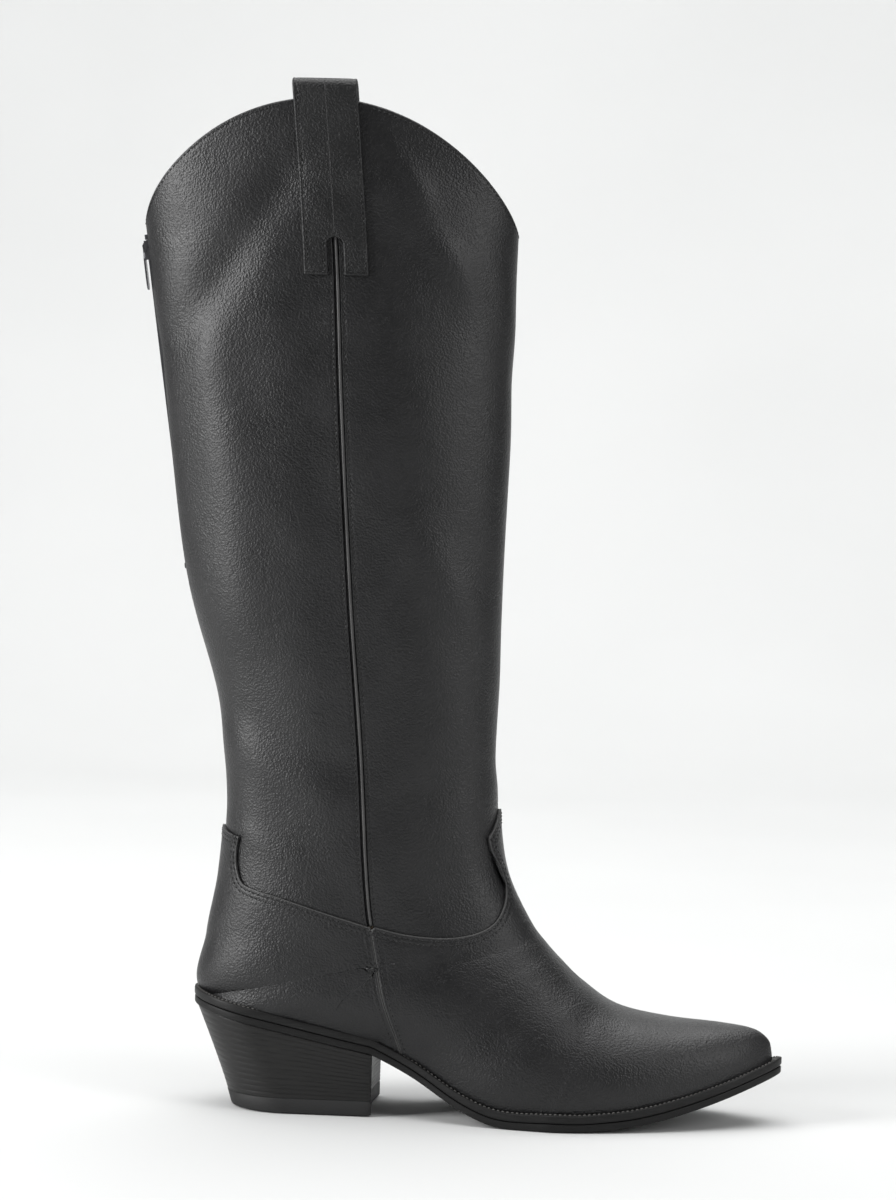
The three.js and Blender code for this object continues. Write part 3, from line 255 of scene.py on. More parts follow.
def normals(place, turn):
    step = 0.0005
    before, after = places_beside(place, step)
    along = last_point(after, turn) - last_point(before, turn)
    across = last_point(place, turn + step) - last_point(place, turn - step)
    normal = np.cross(along, across)
    middle = (np.abs(turn) < 1e-9) | ((np.abs(turn) > 1 - 1e-9) & (place <= CORNER))
    normal[..., 1] = np.where(middle, 0, normal[..., 1])
    return unit(normal, 1e-12)


def skin(place, turn, out):
    """Points a distance out from the last, with the leather's folds."""
    place, turn = np.broadcast_arrays(np.asarray(place, float), np.asarray(turn, float))
    base = last_point(place, turn)
    reach = folds(base) + out
    return base + normals(place, turn) * reach[..., None]


table_places, table_turns = np.meshgrid(np.linspace(0, TOE_END, 681), np.linspace(0, 1, 201), indexing="ij")
table_points = last_point(table_places, -table_turns)


def locate(points):
    """Place and turn of points given as (x, z) seen from the outer side."""
    found = []
    for x, z in points:
        gap = (table_points[..., 0] - x) ** 2 + (table_points[..., 2] - z) ** 2
        i, j = np.unravel_index(np.argmin(gap), gap.shape)
        place, turn = table_places[i, j], table_turns[i, j]
        for _ in range(8):
            here = last_point(place, -turn)
            miss = np.array([x - here[0], z - here[2]])
            step = 1e-3
            dp = (last_point(min(place + step, TOE_END), -turn) - here)[[0, 2]] / step
            dt = (last_point(place, -max(turn - step, 0)) - here)[[0, 2]] / -step
            try:
                move = np.linalg.solve(np.stack([dp, dt], axis=1), miss)
            except np.linalg.LinAlgError:
                break
            move = np.clip(move, -0.05, 0.05)
            place = float(np.clip(place + move[0], 0, TOE_END))
            turn = float(np.clip(turn + move[1], 0, 1))
        found.append((place, turn))
    return np.array(found)


def smooth_path(points, count):
    """Evenly spaced points on a smooth line through a few points."""
    points = np.array(points, float)
    size = lengths(points)
    curves = [through(list(zip(size, points[:, k]))) for k in range(points.shape[1])]
    at = np.linspace(0, size[-1], count)
    return np.stack([curve(at) for curve in curves], axis=1)


# ------------------------------------------------------------------ meshes
def mesh(name, points, faces, material, body="boot", replaces=(), slot=None, sharp=None, shade=None):
    """A piece from points and faces, riding a body. shade gives the points' own normals, zero where the
    mesh's are kept."""
    data = bpy.data.meshes.new(name)
    data.from_pydata((np.asarray(points) * MM).tolist(), [], faces)
    data.validate()
    piece = bpy.data.objects.new(name, data)
    bpy.context.collection.objects.link(piece)
    data.polygons.foreach_set("use_smooth", [True] * len(data.polygons))
    data.materials.append(material)
    if sharp is not None:
        data.set_sharp_from_angle(angle=math.radians(sharp))
    data.update()
    if shade is not None:
        data.normals_split_custom_set_from_vertices(shade.tolist())
    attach(piece, body)
    if replaces:
        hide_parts(*replaces)
    return piece


def weld(points, faces, tolerance=1e-4):
    """Joins points that lie on each other and drops faces that vanish. Also tells which points are left."""
    keys = np.round(np.asarray(points) / tolerance).astype(np.int64)
    _, first, back = np.unique(keys, axis=0, return_index=True, return_inverse=True)
    back = back.reshape(-1)
    kept = np.asarray(points)[first]
    clean = []
    for face in faces:
        ring = []
        for index in (int(back[i]) for i in face):
            if index not in ring:
                ring.append(index)
        if len(ring) > 2:
            clean.append(ring)
    return kept, clean, first


def outward(points, faces):
    """The faces of a closed body, turned over if they face into it."""
    corners = np.array([(f[0], f[k], f[k + 1]) for f in faces for k in range(1, len(f) - 1)])
    a, b, c = (points[corners[:, k]] for k in range(3))
    return faces if np.sum(a * np.cross(b, c)) > 0 else [face[::-1] for face in faces]


def grid_faces(rows, columns, offset=0, flip=False):
    faces = []
    for i in range(rows - 1):
        for j in range(columns - 1):
            a = offset + i * columns + j
            quad = [a, a + 1, a + columns + 1, a + columns]
            faces.append(quad[::-1] if flip else quad)
    return faces


def ring_faces(rings, count):
    """Faces between rings of points that each close on themselves."""
    faces = []
    for i in range(rings - 1):
        for j in range(count):
            a, b = i * count + j, i * count + (j + 1) % count
            faces.append([a, b, b + count, a + count])
    return faces


def turned_over(points, face, shade):
    """Whether a face lies with its back to the normals of its corners, as where the grid folds on itself."""
    a, b, c = points[face[0]], points[face[1]], points[face[2]]
    return float(np.dot(np.cross(b - a, c - a), shade[face[0]] + shade[face[2]])) < 0


def shell_mesh(name, outer, inner, material, facing=None, clear=None, **facts):
    """Closed sheet between two grids of points of the same size. facing gives the outer grid's own normals,
    or zero; they replace the mesh's where the grid is clear of the sheet's edges."""
    rows, columns = outer.shape[:2]
    count = rows * columns
    faces = grid_faces(rows, columns, 0) + grid_faces(rows, columns, count, True)
    border = [(0, j) for j in range(columns)] + [(i, columns - 1) for i in range(1, rows)]
    border += [(rows - 1, j) for j in range(columns - 2, -1, -1)] + [(i, 0) for i in range(rows - 2, 0, -1)]
    for k, (i, j) in enumerate(border):
        p, q = border[(k + 1) % len(border)]
        a, b = i * columns + j, p * columns + q
        faces.append([a, a + count, b + count, b])
    points = np.concatenate([outer.reshape(-1, 3), inner.reshape(-1, 3)])
    points, faces, first = weld(points, faces)
    faces = outward(points, faces)
    shade = None
    if facing is not None:
        shade = np.concatenate([facing.reshape(-1, 3), np.zeros((count, 3))])[first]
        faces = [face[::-1] if turned_over(points, face, shade) else face for face in faces]
        shade = shade * np.concatenate([clear.reshape(-1), np.zeros(count, bool)])[first][:, None]
    return mesh(name, points, faces, material, shade=shade, **facts)


NEAR_EDGE = [0, 0.1, 0.25, 0.45, 0.7, 1.0, 1.35, 1.7, 2.05, 2.6, 3.4, 3.9, 4.4, 5.4, 7.5]
ROLL = 0.8                           # radius of the rounded edge of a panel


def rolled(distance, thickness):
    """Height of a panel's face above its back, this far from its edge: rounded, with sewn grooves."""
    t = np.clip(distance / ROLL, 0, 1)
    return thickness * np.sqrt(1 - (1 - t) ** 2)


def grooves(distance, rows):
    return sum(-0.16 * np.exp(-((distance - row) / 0.42) ** 2) for row in rows)


def spread(begin, finish, both_ends, steps, out=0.0):
    """Grid of place and turn between two edges of a panel, with lines gathered near the edges, and each
    point's distance from the first edge and from the last."""
    dense = np.linspace(0, 1, 160)[None, :, None]
    path = begin[:, None, :] * (1 - dense) + finish[:, None, :] * dense
    points = skin(path[..., 0], path[..., 1], out)
    gaps = np.linalg.norm(np.diff(points, axis=1), axis=2)
    size = np.concatenate([np.zeros((len(begin), 1)), np.cumsum(gaps, axis=1)], axis=1)
    grid, near, far = [], [], []
    for k in range(len(begin)):
        total = max(size[k, -1], 1e-3)
        edge = np.array(NEAR_EDGE) * min(1, 0.45 * total / NEAR_EDGE[-1])
        stop = total - edge[-1] if both_ends else total
        middle = np.linspace(edge[-1], stop, steps)[1:]
        at = np.concatenate([edge, middle])
        if both_ends:
            at = np.concatenate([at, (total - edge[::-1])[1:]])
        share = np.interp(at, size[k], dense[0, :, 0])[:, None]
        grid.append(begin[k] * (1 - share) + finish[k] * share)
        near.append(at)
        far.append(total - at)
    return np.array(grid), np.array(near), np.array(far)


def skin_normals(place, turn, out):
    """Outward normals of the folded leather itself."""
    step = 0.001
    before, after = places_beside(place, step)
    along = skin(after, turn, out) - skin(before, turn, out)
    across = skin(place, turn + step, out) - skin(place, turn - step, out)
    normal = np.cross(along, across)
    return unit(normal, 1e-12)


def thread_path(place, turn, out):
    return skin(place, turn, out), normals(place, turn)


def lengths(points):
    """Distance along a line of points from its start to each of them."""
    return np.concatenate([[0], np.cumsum(np.linalg.norm(np.diff(points, axis=0), axis=1))])


def at_lengths(at, size, values):
    return np.stack([np.interp(at, size, values[:, k]) for k in range(values.shape[1])], axis=1)


def unit(vectors, least=1e-9):
    return vectors / np.maximum(np.linalg.norm(vectors, axis=-1, keepdims=True), least)


def resample(points, normal, pitch):
    """Places along a line half a pitch from its start and a pitch apart, its run and the normals there."""
    size = lengths(points)
    at = np.arange(pitch / 2, size[-1], pitch)
    run = at_lengths(at + 0.3, size, points) - at_lengths(at - 0.3, size, points)
    return at_lengths(at, size, points), unit(run), unit(at_lengths(at, size, normal))


def add_stitches(name, paths, material, pitch=STITCH_PITCH, length=2.0, thick=0.3, **facts):
    """Separate stitches along each path: short crowned bars of thread whose ends dip into the leather."""
    rings = 5
    sides = 6
    points, faces = [], []
    for path, normal in paths:
        where, run, up = resample(path, normal, pitch)
        beside = np.cross(run, up)
        for k in range(len(where)):
            base = len(points)
            for r in range(rings):
                share = r / (rings - 1) * 2 - 1
                fat = thick * math.sqrt(max(1 - share**4, 0.08))
                centre = where[k] + run[k] * share * length / 2 + up[k] * (0.10 - 0.34 * share**2)
                for s in range(sides):
                    angle = 2 * math.pi * s / sides
                    points.append(centre + fat * (math.cos(angle) * beside[k] + math.sin(angle) * up[k]))
            for r in range(rings - 1):
                for s in range(sides):
                    a, b = base + r * sides + s, base + r * sides + (s + 1) % sides
                    faces.append([a, a + sides, b + sides, b])
            faces.append([base + s for s in range(sides)])
            faces.append([base + (rings - 1) * sides + s for s in range(sides)][::-1])
    return mesh(name, points, faces, material, **facts)


def tube(name, path, normal, radius, material, sides=12, **facts):
    """Closed round cord along a path."""
    run = np.gradient(path, axis=0)
    run /= np.linalg.norm(run, axis=1, keepdims=True)
    beside = np.cross(run, normal)
    beside /= np.linalg.norm(beside, axis=1, keepdims=True)
    up = np.cross(beside, run)
    points = []
    for k in range(len(path)):
        for s in range(sides):
            angle = 2 * math.pi * s / sides
            points.append(path[k] + radius * (math.cos(angle) * beside[k] + math.sin(angle) * up[k]))
    faces = ring_faces(len(path), sides)
    faces.append(list(range(sides))[::-1])
    last = (len(path) - 1) * sides
    faces.append([last + s for s in range(sides)])
    return mesh(name, points, faces, material, **facts)


# ------------------------------------------------------------------ materials
LEATHER_GRAIN = 0.9                  # width of the leather's pebbles
THREAD_TWIST = 900.0                 # scale of the strands of a thread


class Nodes:
    """A short way to write a node material around one Principled shader."""

    def __init__(self, name):
        self.material = bpy.data.materials.new(name)
        self.material.use_nodes = True
        self.tree = self.material.node_tree
        self.shader = self.tree.nodes["Principled BSDF"]
        place = self.tree.nodes.new("ShaderNodeTexCoord")
        self.place = place.outputs["Object"]

    def add(self, kind, inputs=None, **facts):
        node = self.tree.nodes.new(kind)
        for key, value in facts.items():
            setattr(node, key, value)
        for key, value in (inputs or {}).items():
            self.put(node.inputs[key], value)
        return node

    def put(self, socket, value):
        """Links a socket to another's output or sets it to a value."""
        if isinstance(value, bpy.types.NodeSocket):
            self.tree.links.new(value, socket)
        else:
            socket.default_value = value

    def noise(self, scale, detail=3.0, roughness=0.5, vector=None):
        node = self.add("ShaderNodeTexNoise", {"Scale": scale, "Detail": detail, "Roughness": roughness,
                                               "Vector": vector or self.place})
        return node.outputs["Fac"]

    def ribs(self, scale, distortion, direction, vector=None, **inputs):
        inputs.update({"Scale": scale, "Distortion": distortion, "Vector": vector or self.place})
        return self.add("ShaderNodeTexWave", inputs, bands_direction=direction).outputs["Fac"]

    def cells(self, scale, feature="F1"):
        node = self.add("ShaderNodeTexVoronoi", {"Scale": scale, "Vector": self.place}, feature=feature)
        return node.outputs["Distance"]

    def stretch(self, scale):
        node = self.add("ShaderNodeMapping", {"Vector": self.place, "Scale": scale})
        return node.outputs["Vector"]

    def math(self, operation, a, b=0.0):
        node = self.add("ShaderNodeMath", operation=operation)
        for socket, value in zip(node.inputs, (a, b)):
            self.put(socket, value)
        return node.outputs[0]

    def ramp(self, value, stops):
        node = self.add("ShaderNodeValToRGB", {"Fac": value})
        ramp = node.color_ramp
        while len(ramp.elements) < len(stops):
            ramp.elements.new(0.5)
        for element, (at, colour) in zip(ramp.elements, stops):
            element.position = at
            element.color = (*colour, 1) if len(colour) == 3 else colour
        return node.outputs["Color"]

    def between(self, value, low, high, out_low, out_high):
        node = self.add("ShaderNodeMapRange", {"Value": value, "From Min": low, "From Max": high,
                                                "To Min": out_low, "To Max": out_high})
        return node.outputs["Result"]

    def bump(self, height, distance, strength=1.0, normal=None):
        inputs = {"Height": height, "Distance": distance, "Strength": strength}
        if normal:
            inputs["Normal"] = normal
        return self.add("ShaderNodeBump", inputs).outputs["Normal"]

    def set(self, key, value):
        self.put(self.shader.inputs[key], value)
        return self

    def dress(self, colour, rough, normal, **others):
        """Links the shader's colour, roughness and normal, sets its other inputs, and gives the material."""
        self.set("Base Color", colour).set("Roughness", rough).set("Normal", normal)
        for key, value in others.items():
            self.set(key.replace("_", " "), value)
        return self.material


def leather(name, dark, light, gloss, depth, coat=0.06):
    """Grained leather: pebbles about the grain's size, fine pores and uneven gloss."""
    n = Nodes(name)
    warp = n.noise(350, 2)
    pebbles = n.cells(1000 / LEATHER_GRAIN, feature="SMOOTH_F1")
    pores = n.noise(5200, 4, 0.6)
    patches = n.noise(38, 4, 0.55)
    wear = n.noise(120, 5, 0.6)
    tone = n.math("ADD", n.math("MULTIPLY", patches, 0.6), n.math("MULTIPLY", wear, 0.4))
    rough = n.math("ADD", n.between(patches, 0.3, 0.7, gloss[0], gloss[1]),
                   n.math("MULTIPLY", n.math("SUBTRACT", pebbles, 0.5), 0.16))
    height = n.math("ADD", n.math("MULTIPLY", pebbles, -1.0), n.math("MULTIPLY", warp, 0.5))
    coarse = n.bump(height, depth * MM * 3.2, 0.8)
    return n.dress(n.ramp(tone, [(0.30, dark), (0.70, light)]), rough,
                   n.bump(pores, depth * MM * 0.8, 0.5, coarse),
                   Coat_Weight=coat, Coat_Roughness=0.32, Specular_IOR_Level=0.42)


def sole_leather(name, dark, light, gloss=(0.45, 0.62)):
    """Blackened edge of a leather sole, with fibres along it."""
    n = Nodes(name)
    fibre = n.noise(420, 4, 0.6, n.stretch((0.35, 0.35, 3.2)))
    patches = n.noise(60, 3)
    return n.dress(n.ramp(fibre, [(0.3, dark), (0.75, light)]), n.between(patches, 0.3, 0.7, *gloss),
                   n.bump(fibre, 0.00010, 0.6), Coat_Weight=0.05, Coat_Roughness=0.3, Specular_IOR_Level=0.25)


def stacked(name):
    """Side of a stacked heel: many thin leather layers under black finish."""
    n = Nodes(name)
    layers = n.ribs(560.0, 2.2, "Z", n.stretch((0.06, 0.06, 1.0)), Detail=2.0, **{"Detail Scale": 0.4})
    streaks = n.noise(900, 4, 0.65, n.stretch((0.05, 0.05, 1.4)))
    mixed = n.math("ADD", n.math("MULTIPLY", layers, 0.35), n.math("MULTIPLY", streaks, 0.65))
    return n.dress(n.ramp(mixed, [(0.25, (0.003, 0.003, 0.003)), (0.8, (0.017, 0.0165, 0.016))]),
                   n.between(streaks, 0.3, 0.7, 0.38, 0.58), n.bump(mixed, 0.00012, 0.7),
                   Coat_Weight=0.05, Coat_Roughness=0.25, Specular_IOR_Level=0.32)


def thread(name, colour):
    n = Nodes(name)
    strands = n.ribs(THREAD_TWIST, 1.0, "DIAGONAL")
    fuzz = n.noise(2600, 3)
    dark = tuple(0.45 * c for c in colour)
    return n.dress(n.ramp(fuzz, [(0.3, dark), (0.7, colour)]), n.between(strands, 0, 1, 0.45, 0.75),
                   n.bump(strands, 0.00008, 0.8))


def rubber(name, colour):
    n = Nodes(name)
    speck = n.noise(1500, 3)
    scuff = n.noise(90, 5, 0.65)
    light = tuple(2.2 * c for c in colour)
    return n.dress(n.ramp(scuff, [(0.35, colour), (0.8, light)]), n.between(scuff, 0.3, 0.7, 0.58, 0.78),
                   n.bump(speck, 0.00006, 0.6))


def metal(name, colour):
    n = Nodes(name)
    brushed = n.noise(700, 4, 0.6, n.stretch((1, 1, 0.15)))
    return n.dress(n.ramp(brushed, [(0.3, tuple(0.8 * c for c in colour)), (0.7, colour)]),
                   n.between(brushed, 0.3, 0.7, 0.22, 0.38), n.bump(brushed, 0.00003, 0.5), Metallic=1.0)


def woven(name, dark, light, pitch=0.6):
    """Tape or cloth: two sets of ribs that cross."""
    n = Nodes(name)
    weave = n.math("MULTIPLY", *(n.ribs(160 / pitch, 0.3, way) for way in "ZY"))
    fuzz = n.noise(900, 3)
    tone = n.math("ADD", n.math("MULTIPLY", weave, 0.6), n.math("MULTIPLY", fuzz, 0.4))
    return n.dress(n.ramp(tone, [(0.2, dark), (0.8, light)]), n.between(fuzz, 0.3, 0.7, 0.8, 0.95),
                   n.bump(weave, 0.00012, 0.8), Sheen_Weight=0.2)


def granular(name, dark, light, size=1.2):
    """Cork, fibre board and foam: packed grains."""
    n = Nodes(name)
    grains = n.cells(1000 / size)
    fine = n.noise(2200, 3)
    tone = n.math("ADD", n.math("MULTIPLY", grains, 0.6), n.math("MULTIPLY", fine, 0.4))
    return n.dress(n.ramp(tone, [(0.2, dark), (0.75, light)]), n.between(fine, 0.3, 0.7, 0.8, 0.95),
                   n.bump(grains, 0.00010, 0.7))


def moulded(name, colour):
    n = Nodes(name)
    texture = n.noise(3000, 2)
    cloud = n.noise(40, 3)
    return n.dress(n.ramp(cloud, [(0.3, tuple(0.8 * c for c in colour)), (0.7, colour)]),
                   n.between(cloud, 0.3, 0.7, 0.45, 0.6), n.bump(texture, 0.00004, 0.5))


BLACK = leather("black_leather", (0.0045, 0.0045, 0.0049), (0.0095, 0.0093, 0.0100), (0.36, 0.47), 0.10)
STRAP = leather("strap_leather", (0.002, 0.002, 0.0022), (0.005, 0.005, 0.0055), (0.42, 0.54), 0.13)
# Lighter leather: the side seam piping's own colour, and the painted highlight of the cords along the vamp's
# and counter's folded edges.
PIPING_AND_EDGE_HIGHLIGHT = leather("piping_and_edge_highlight_leather", (0.030, 0.030, 0.030), (0.060, 0.059, 0.058), (0.34, 0.44), 0.03)
LINING = leather("lining_leather", (0.26, 0.19, 0.125), (0.36, 0.27, 0.185), (0.6, 0.75), 0.04, coat=0)
THREAD = thread("black_thread", (0.002, 0.002, 0.002))
WELT_THREAD = thread("welt_thread", (0.110, 0.106, 0.100))
WELT_EDGE = sole_leather("welt_edge", (0.004, 0.004, 0.004), (0.012, 0.0118, 0.0118))
SOLE_EDGE = sole_leather("sole_edge", (0.003, 0.003, 0.003), (0.009, 0.0088, 0.0088), gloss=(0.5, 0.68))
HEEL_STACK = stacked("stacked_heel")
LIFT_RUBBER = rubber("lift_rubber", (0.006, 0.006, 0.0062))
DARK_METAL = metal("blackened_metal", (0.16, 0.16, 0.17))
STEEL = metal("steel", (0.6, 0.6, 0.62))
TAPE = woven("zip_tape", (0.008, 0.008, 0.009), (0.028, 0.028, 0.030))
CLOTH = woven("doubler_cloth", (0.20, 0.18, 0.15), (0.34, 0.31, 0.27), 0.8)
CORK = granular("cork", (0.22, 0.13, 0.06), (0.46, 0.32, 0.19), 1.6)
BOARD = granular("fibre_board", (0.20, 0.155, 0.105), (0.36, 0.29, 0.21), 0.7)
FOAM = granular("latex_foam", (0.20, 0.16, 0.11), (0.34, 0.28, 0.21), 0.5)
PLASTIC = moulded("heel_plastic", (0.06, 0.06, 0.062))

# ------------------------------------------------------------------ side seam, vamp and counter lines
seam_at = through([(10, 52), (34, 45.5), (57, 37), (75, 33), (104, 28), (175, 22.5), (246, 16),
                   (340, 9.3), (412, 5), (500, -3)])
SEAM_CROSSING = 91.2                 # height where the side seam passes under the vamp and counter
VAMP_EDGE = [(82.8, 133.0), (84.6, 126.4), (88.9, 117.8), (91.6, 109), (91.2, 100.5), (87.4, 93.2),
             (80, 89), (67, 86.8), (48, 88), (32, 91.4)]
TONGUE_TOP = (90.0, 146.0)
COUNTER_EDGE = [(-34.4, 130.4), (-35.8, 124), (-35.6, 116), (-32.6, 108.6), (-26, 106), (-14, 103.4),
                (-3.6, 100.6), (12, 96.2), (30, 91.2)]


def halve(low, high, ahead):
    """The value between low and high where ahead() changes from true to false."""
    low, high = np.array(low, float), np.array(high, float)
    for _ in range(40):
        middle = (low + high) / 2
        lead = ahead(middle)
        low, high = np.where(lead, middle, low), np.where(lead, high, middle)
    return (low + high) / 2


def before_seam(place, turn):
    point = last_point(place, -turn)
    return point[..., 0] > seam_at(point[..., 2])


seam_end = float(halve(CORNER + 1.0, CORNER + 4.0, lambda place: ~before_seam(place, 1.0)))
seam_places = np.linspace(0, seam_end, 1200)
seam_turns = halve(np.full(1200, 0.2), np.full(1200, 1.0), lambda turn: before_seam(seam_places, turn))
seam_turns[-1] = 1.0
seam_heights = last_point(seam_places, -seam_turns)[..., 2]


def seam_turn(place):
    """Turn of the side seam at each place."""
    return np.interp(place, seam_places, seam_turns)


def seam_run(high, low, count):
    """Place and turn along the side seam between two heights."""
    place = np.interp(-np.linspace(high, low, count), -seam_heights, seam_places)
    return np.stack([place, seam_turn(place)], axis=1)


def turn_step(place, turn, distance):
    """How much turn covers a distance along the surface."""
    gap = last_point(place, -turn - 0.01) - last_point(place, -turn)
    return 0.01 * distance / np.maximum(np.linalg.norm(gap, axis=-1), 1e-6)


LEG_FOOT = 8.25                      # place where the leg's leather ends under the vamp and counter
leg_rows = np.concatenate([[0, 0.003, 0.007, 0.013, 0.02, 0.03, 0.045, 0.065],
                           np.linspace(0.1, LEG_FOOT, int(150 * FINE))])


def leg_panel(name, begin, finish, both_ends, steps, node, out_face=0.0, out_back=SHAFT_BACK, material=None,
              sewn=(EDGE_ROW,), slot="leather"):
    """A panel of the leg between two edges, each a turn for every row. Its topline edge is rounded too."""
    rows = leg_rows
    edges = [np.stack([rows, turn(rows)], axis=1) for turn in (begin, finish)]
    grid, near, far = spread(*edges, both_ends, steps)
    top = np.broadcast_to((rows * 62)[:, None], near.shape)
    edge = np.minimum(near, far) if both_ends else near
    distance = np.minimum(edge, top)
    thick = out_face - out_back
    face = skin(grid[..., 0], grid[..., 1], out_back + rolled(distance, thick) + grooves(distance, sewn))
    back = skin(grid[..., 0], grid[..., 1], out_back)
    return shell_mesh(name, face, back, material or BLACK, replaces=(node,), slot=slot)


def seam_edge(side, forward):
    """Turn of a leg panel's edge beside the side seam."""
    def turn(place):
        centre = seam_turn(place)
        return side * (centre + (-1 if forward else 1) * turn_step(place, centre, SEAM_GROOVE))
    return turn


def back_edge(side, gap):
    """Turn of the edge at the centre of the back: along the zip's slot above, closed below."""
    def turn(place):
        height = last_point(place, side)[..., 2]
        open_half = np.where(height > ZIP_BOTTOM - 6, gap, 0.2)
        return side * (1 - turn_step(place, np.full_like(place, 0.985), open_half))
    return turn


def add_leg():
    steps = int(90 * FINE)
    leg_panel("shaft_front", seam_edge(-1, True), seam_edge(1, True), True, steps, "shaft_front_panel")
    half = int(46 * FINE)
    leg_panel("shaft_back_outer", seam_edge(-1, False), back_edge(-1, ZIP_SLOT_HALF), True, half,
              "shaft_back_outer_panel")
    leg_panel("shaft_back_inner", seam_edge(1, False), back_edge(1, ZIP_SLOT_HALF), True, half,
              "shaft_back_inner_panel")
    lining = dict(out_face=LINING_FACE, out_back=LINING_BACK, material=LINING, sewn=(), slot="lining")

    def beside(side, forward):
        return lambda place: side * (seam_turn(place) + (-1 if forward else 1) * 0.001)

    leg_panel("lining_front", beside(-1, True), beside(1, True), True, steps // 2, "shaft_lining_front",
              **lining)
    leg_panel("lining_back_outer", beside(-1, False), back_edge(-1, TAPE_HALF + 0.3), True, half // 2,
              "shaft_lining_back_outer", **lining)
    leg_panel("lining_back_inner", beside(1, False), back_edge(1, TAPE_HALF + 0.3), True, half // 2,
              "shaft_lining_back_inner", **lining)


def edge_distance(points, line):
    """Distance of each point of a grid from a line of points."""
    size = lengths(line)
    dense = at_lengths(np.arange(0, size[-1], 0.15), size, line)
    tree = KDTree(len(dense))
    for k, point in enumerate(dense):
        tree.insert(point, k)
    tree.balance()
    flat = points.reshape(-1, 3)
    return np.array([tree.find(point)[2] for point in flat]).reshape(points.shape[:-1])


def line_inside(edge, sign, distance, out):
    """Place and turn of a line drawn inside a panel at a distance from its edge."""
    flat = skin(edge[:, 0], edge[:, 1], 0)
    run = np.gradient(flat, axis=0)
    run = unit(run)
    up = normals(edge[:, 0], edge[:, 1])
    inward = np.cross(run, up) * sign
    step = 0.003
    before, after = places_beside(edge[:, 0], step)
    along = (last_point(after, edge[:, 1]) - last_point(before, edge[:, 1])) / (after - before)[:, None]
    across = last_point(edge[:, 0], edge[:, 1] + step) - last_point(edge[:, 0], edge[:, 1] - step)
    across /= 2 * step
    moved = edge.copy()
    for k in range(len(edge)):
        basis = np.stack([along[k], across[k]], axis=1)
        moved[k] += np.linalg.lstsq(basis, inward[k] * distance, rcond=None)[0]
    return skin(moved[:, 0], moved[:, 1], out), normals(moved[:, 0], moved[:, 1])


def three_way(begin, middle, finish, steps, near_edge):
    """Grid of place and turn along lines from begin through middle to finish, closer near the start."""
    t = np.linspace(0, 1, 90)[None, :, None]
    first = begin[:, None, :] * (1 - t) + middle[:, None, :] * t
    second = middle[:, None, :] * (1 - t) + finish[:, None, :] * t
    path = np.concatenate([first, second[:, 1:]], axis=1)
    points = last_point(path[..., 0], path[..., 1])
    gaps = np.linalg.norm(np.diff(points, axis=1), axis=2)
    size = np.concatenate([np.zeros((len(begin), 1)), np.cumsum(gaps, axis=1)], axis=1)
    grid = []
    for k in range(len(begin)):
        total = max(size[k, -1], 1e-3)
        edge = near_edge * min(1, 0.5 * total / near_edge[-1])
        at = np.concatenate([edge, np.linspace(edge[-1], total, steps)[1:]])
        grid.append(np.stack([np.interp(at, size[k], path[k, :, c]) for c in (0, 1)], axis=1))
    return np.array(grid)


def overlay_panel(name, grid, line, node, skewed=False):
    """A panel on top of the leg's leather, its face rounded down to its back along its cut edge. Where the
    grid is skewed, the face takes the normals of the leather itself."""
    thick = OVERLAY_FACE - OVERLAY_BASE
    flat = skin(grid[..., 0], grid[..., 1], OVERLAY_BASE)
    near = edge_distance(flat, skin(line[:, 0], line[:, 1], OVERLAY_BASE))
    face = skin(grid[..., 0], grid[..., 1], OVERLAY_BASE + rolled(near, thick) + grooves(near, SEWN_ROWS))
    back = skin(grid[..., 0], grid[..., 1], OVERLAY_BASE - 0.4)
    clear = (near > 5.4) & (grid[..., 0] < TOE_END - 0.1) & (np.abs(grid[..., 1]) < 0.99)
    away = np.abs(grid[..., 0] - CORNER) > CORNER_CLEARANCE
    clear &= away
    facing = skin_normals(grid[..., 0], grid[..., 1], OVERLAY_FACE) * ((near > 1.2) & away)[..., None]
    own = dict(facing=facing, clear=clear) if skewed else {}
    shell_mesh(name, face, back, BLACK, replaces=(node,), slot="leather", **own)


def sew_overlay(name, top, seam, side, inward, seam_row, cut):
    """Two rows of stitches along an overlay's top edge, one down beside the side seam, and a painted
    highlight along the folded edge: a cord of lighter leather."""
    face = OVERLAY_FACE - STITCH_SINK
    rows = [line_inside(top, inward, distance, face) for distance in SEWN_ROWS]
    rows.append(line_inside(seam, inward, seam_row, face))
    add_stitches(f"stitching_{name}", rows, THREAD)
    # Painted highlight: a cord of lighter leather just inside the folded cut edge, standing in for the light
    # that edge catches.
    path, up = line_inside(cut, inward, 0.32, OVERLAY_FACE - 0.42)
    tube(f"edge_{name}", path, up, 0.36, PIPING_AND_EDGE_HIGHLIGHT, sides=8)


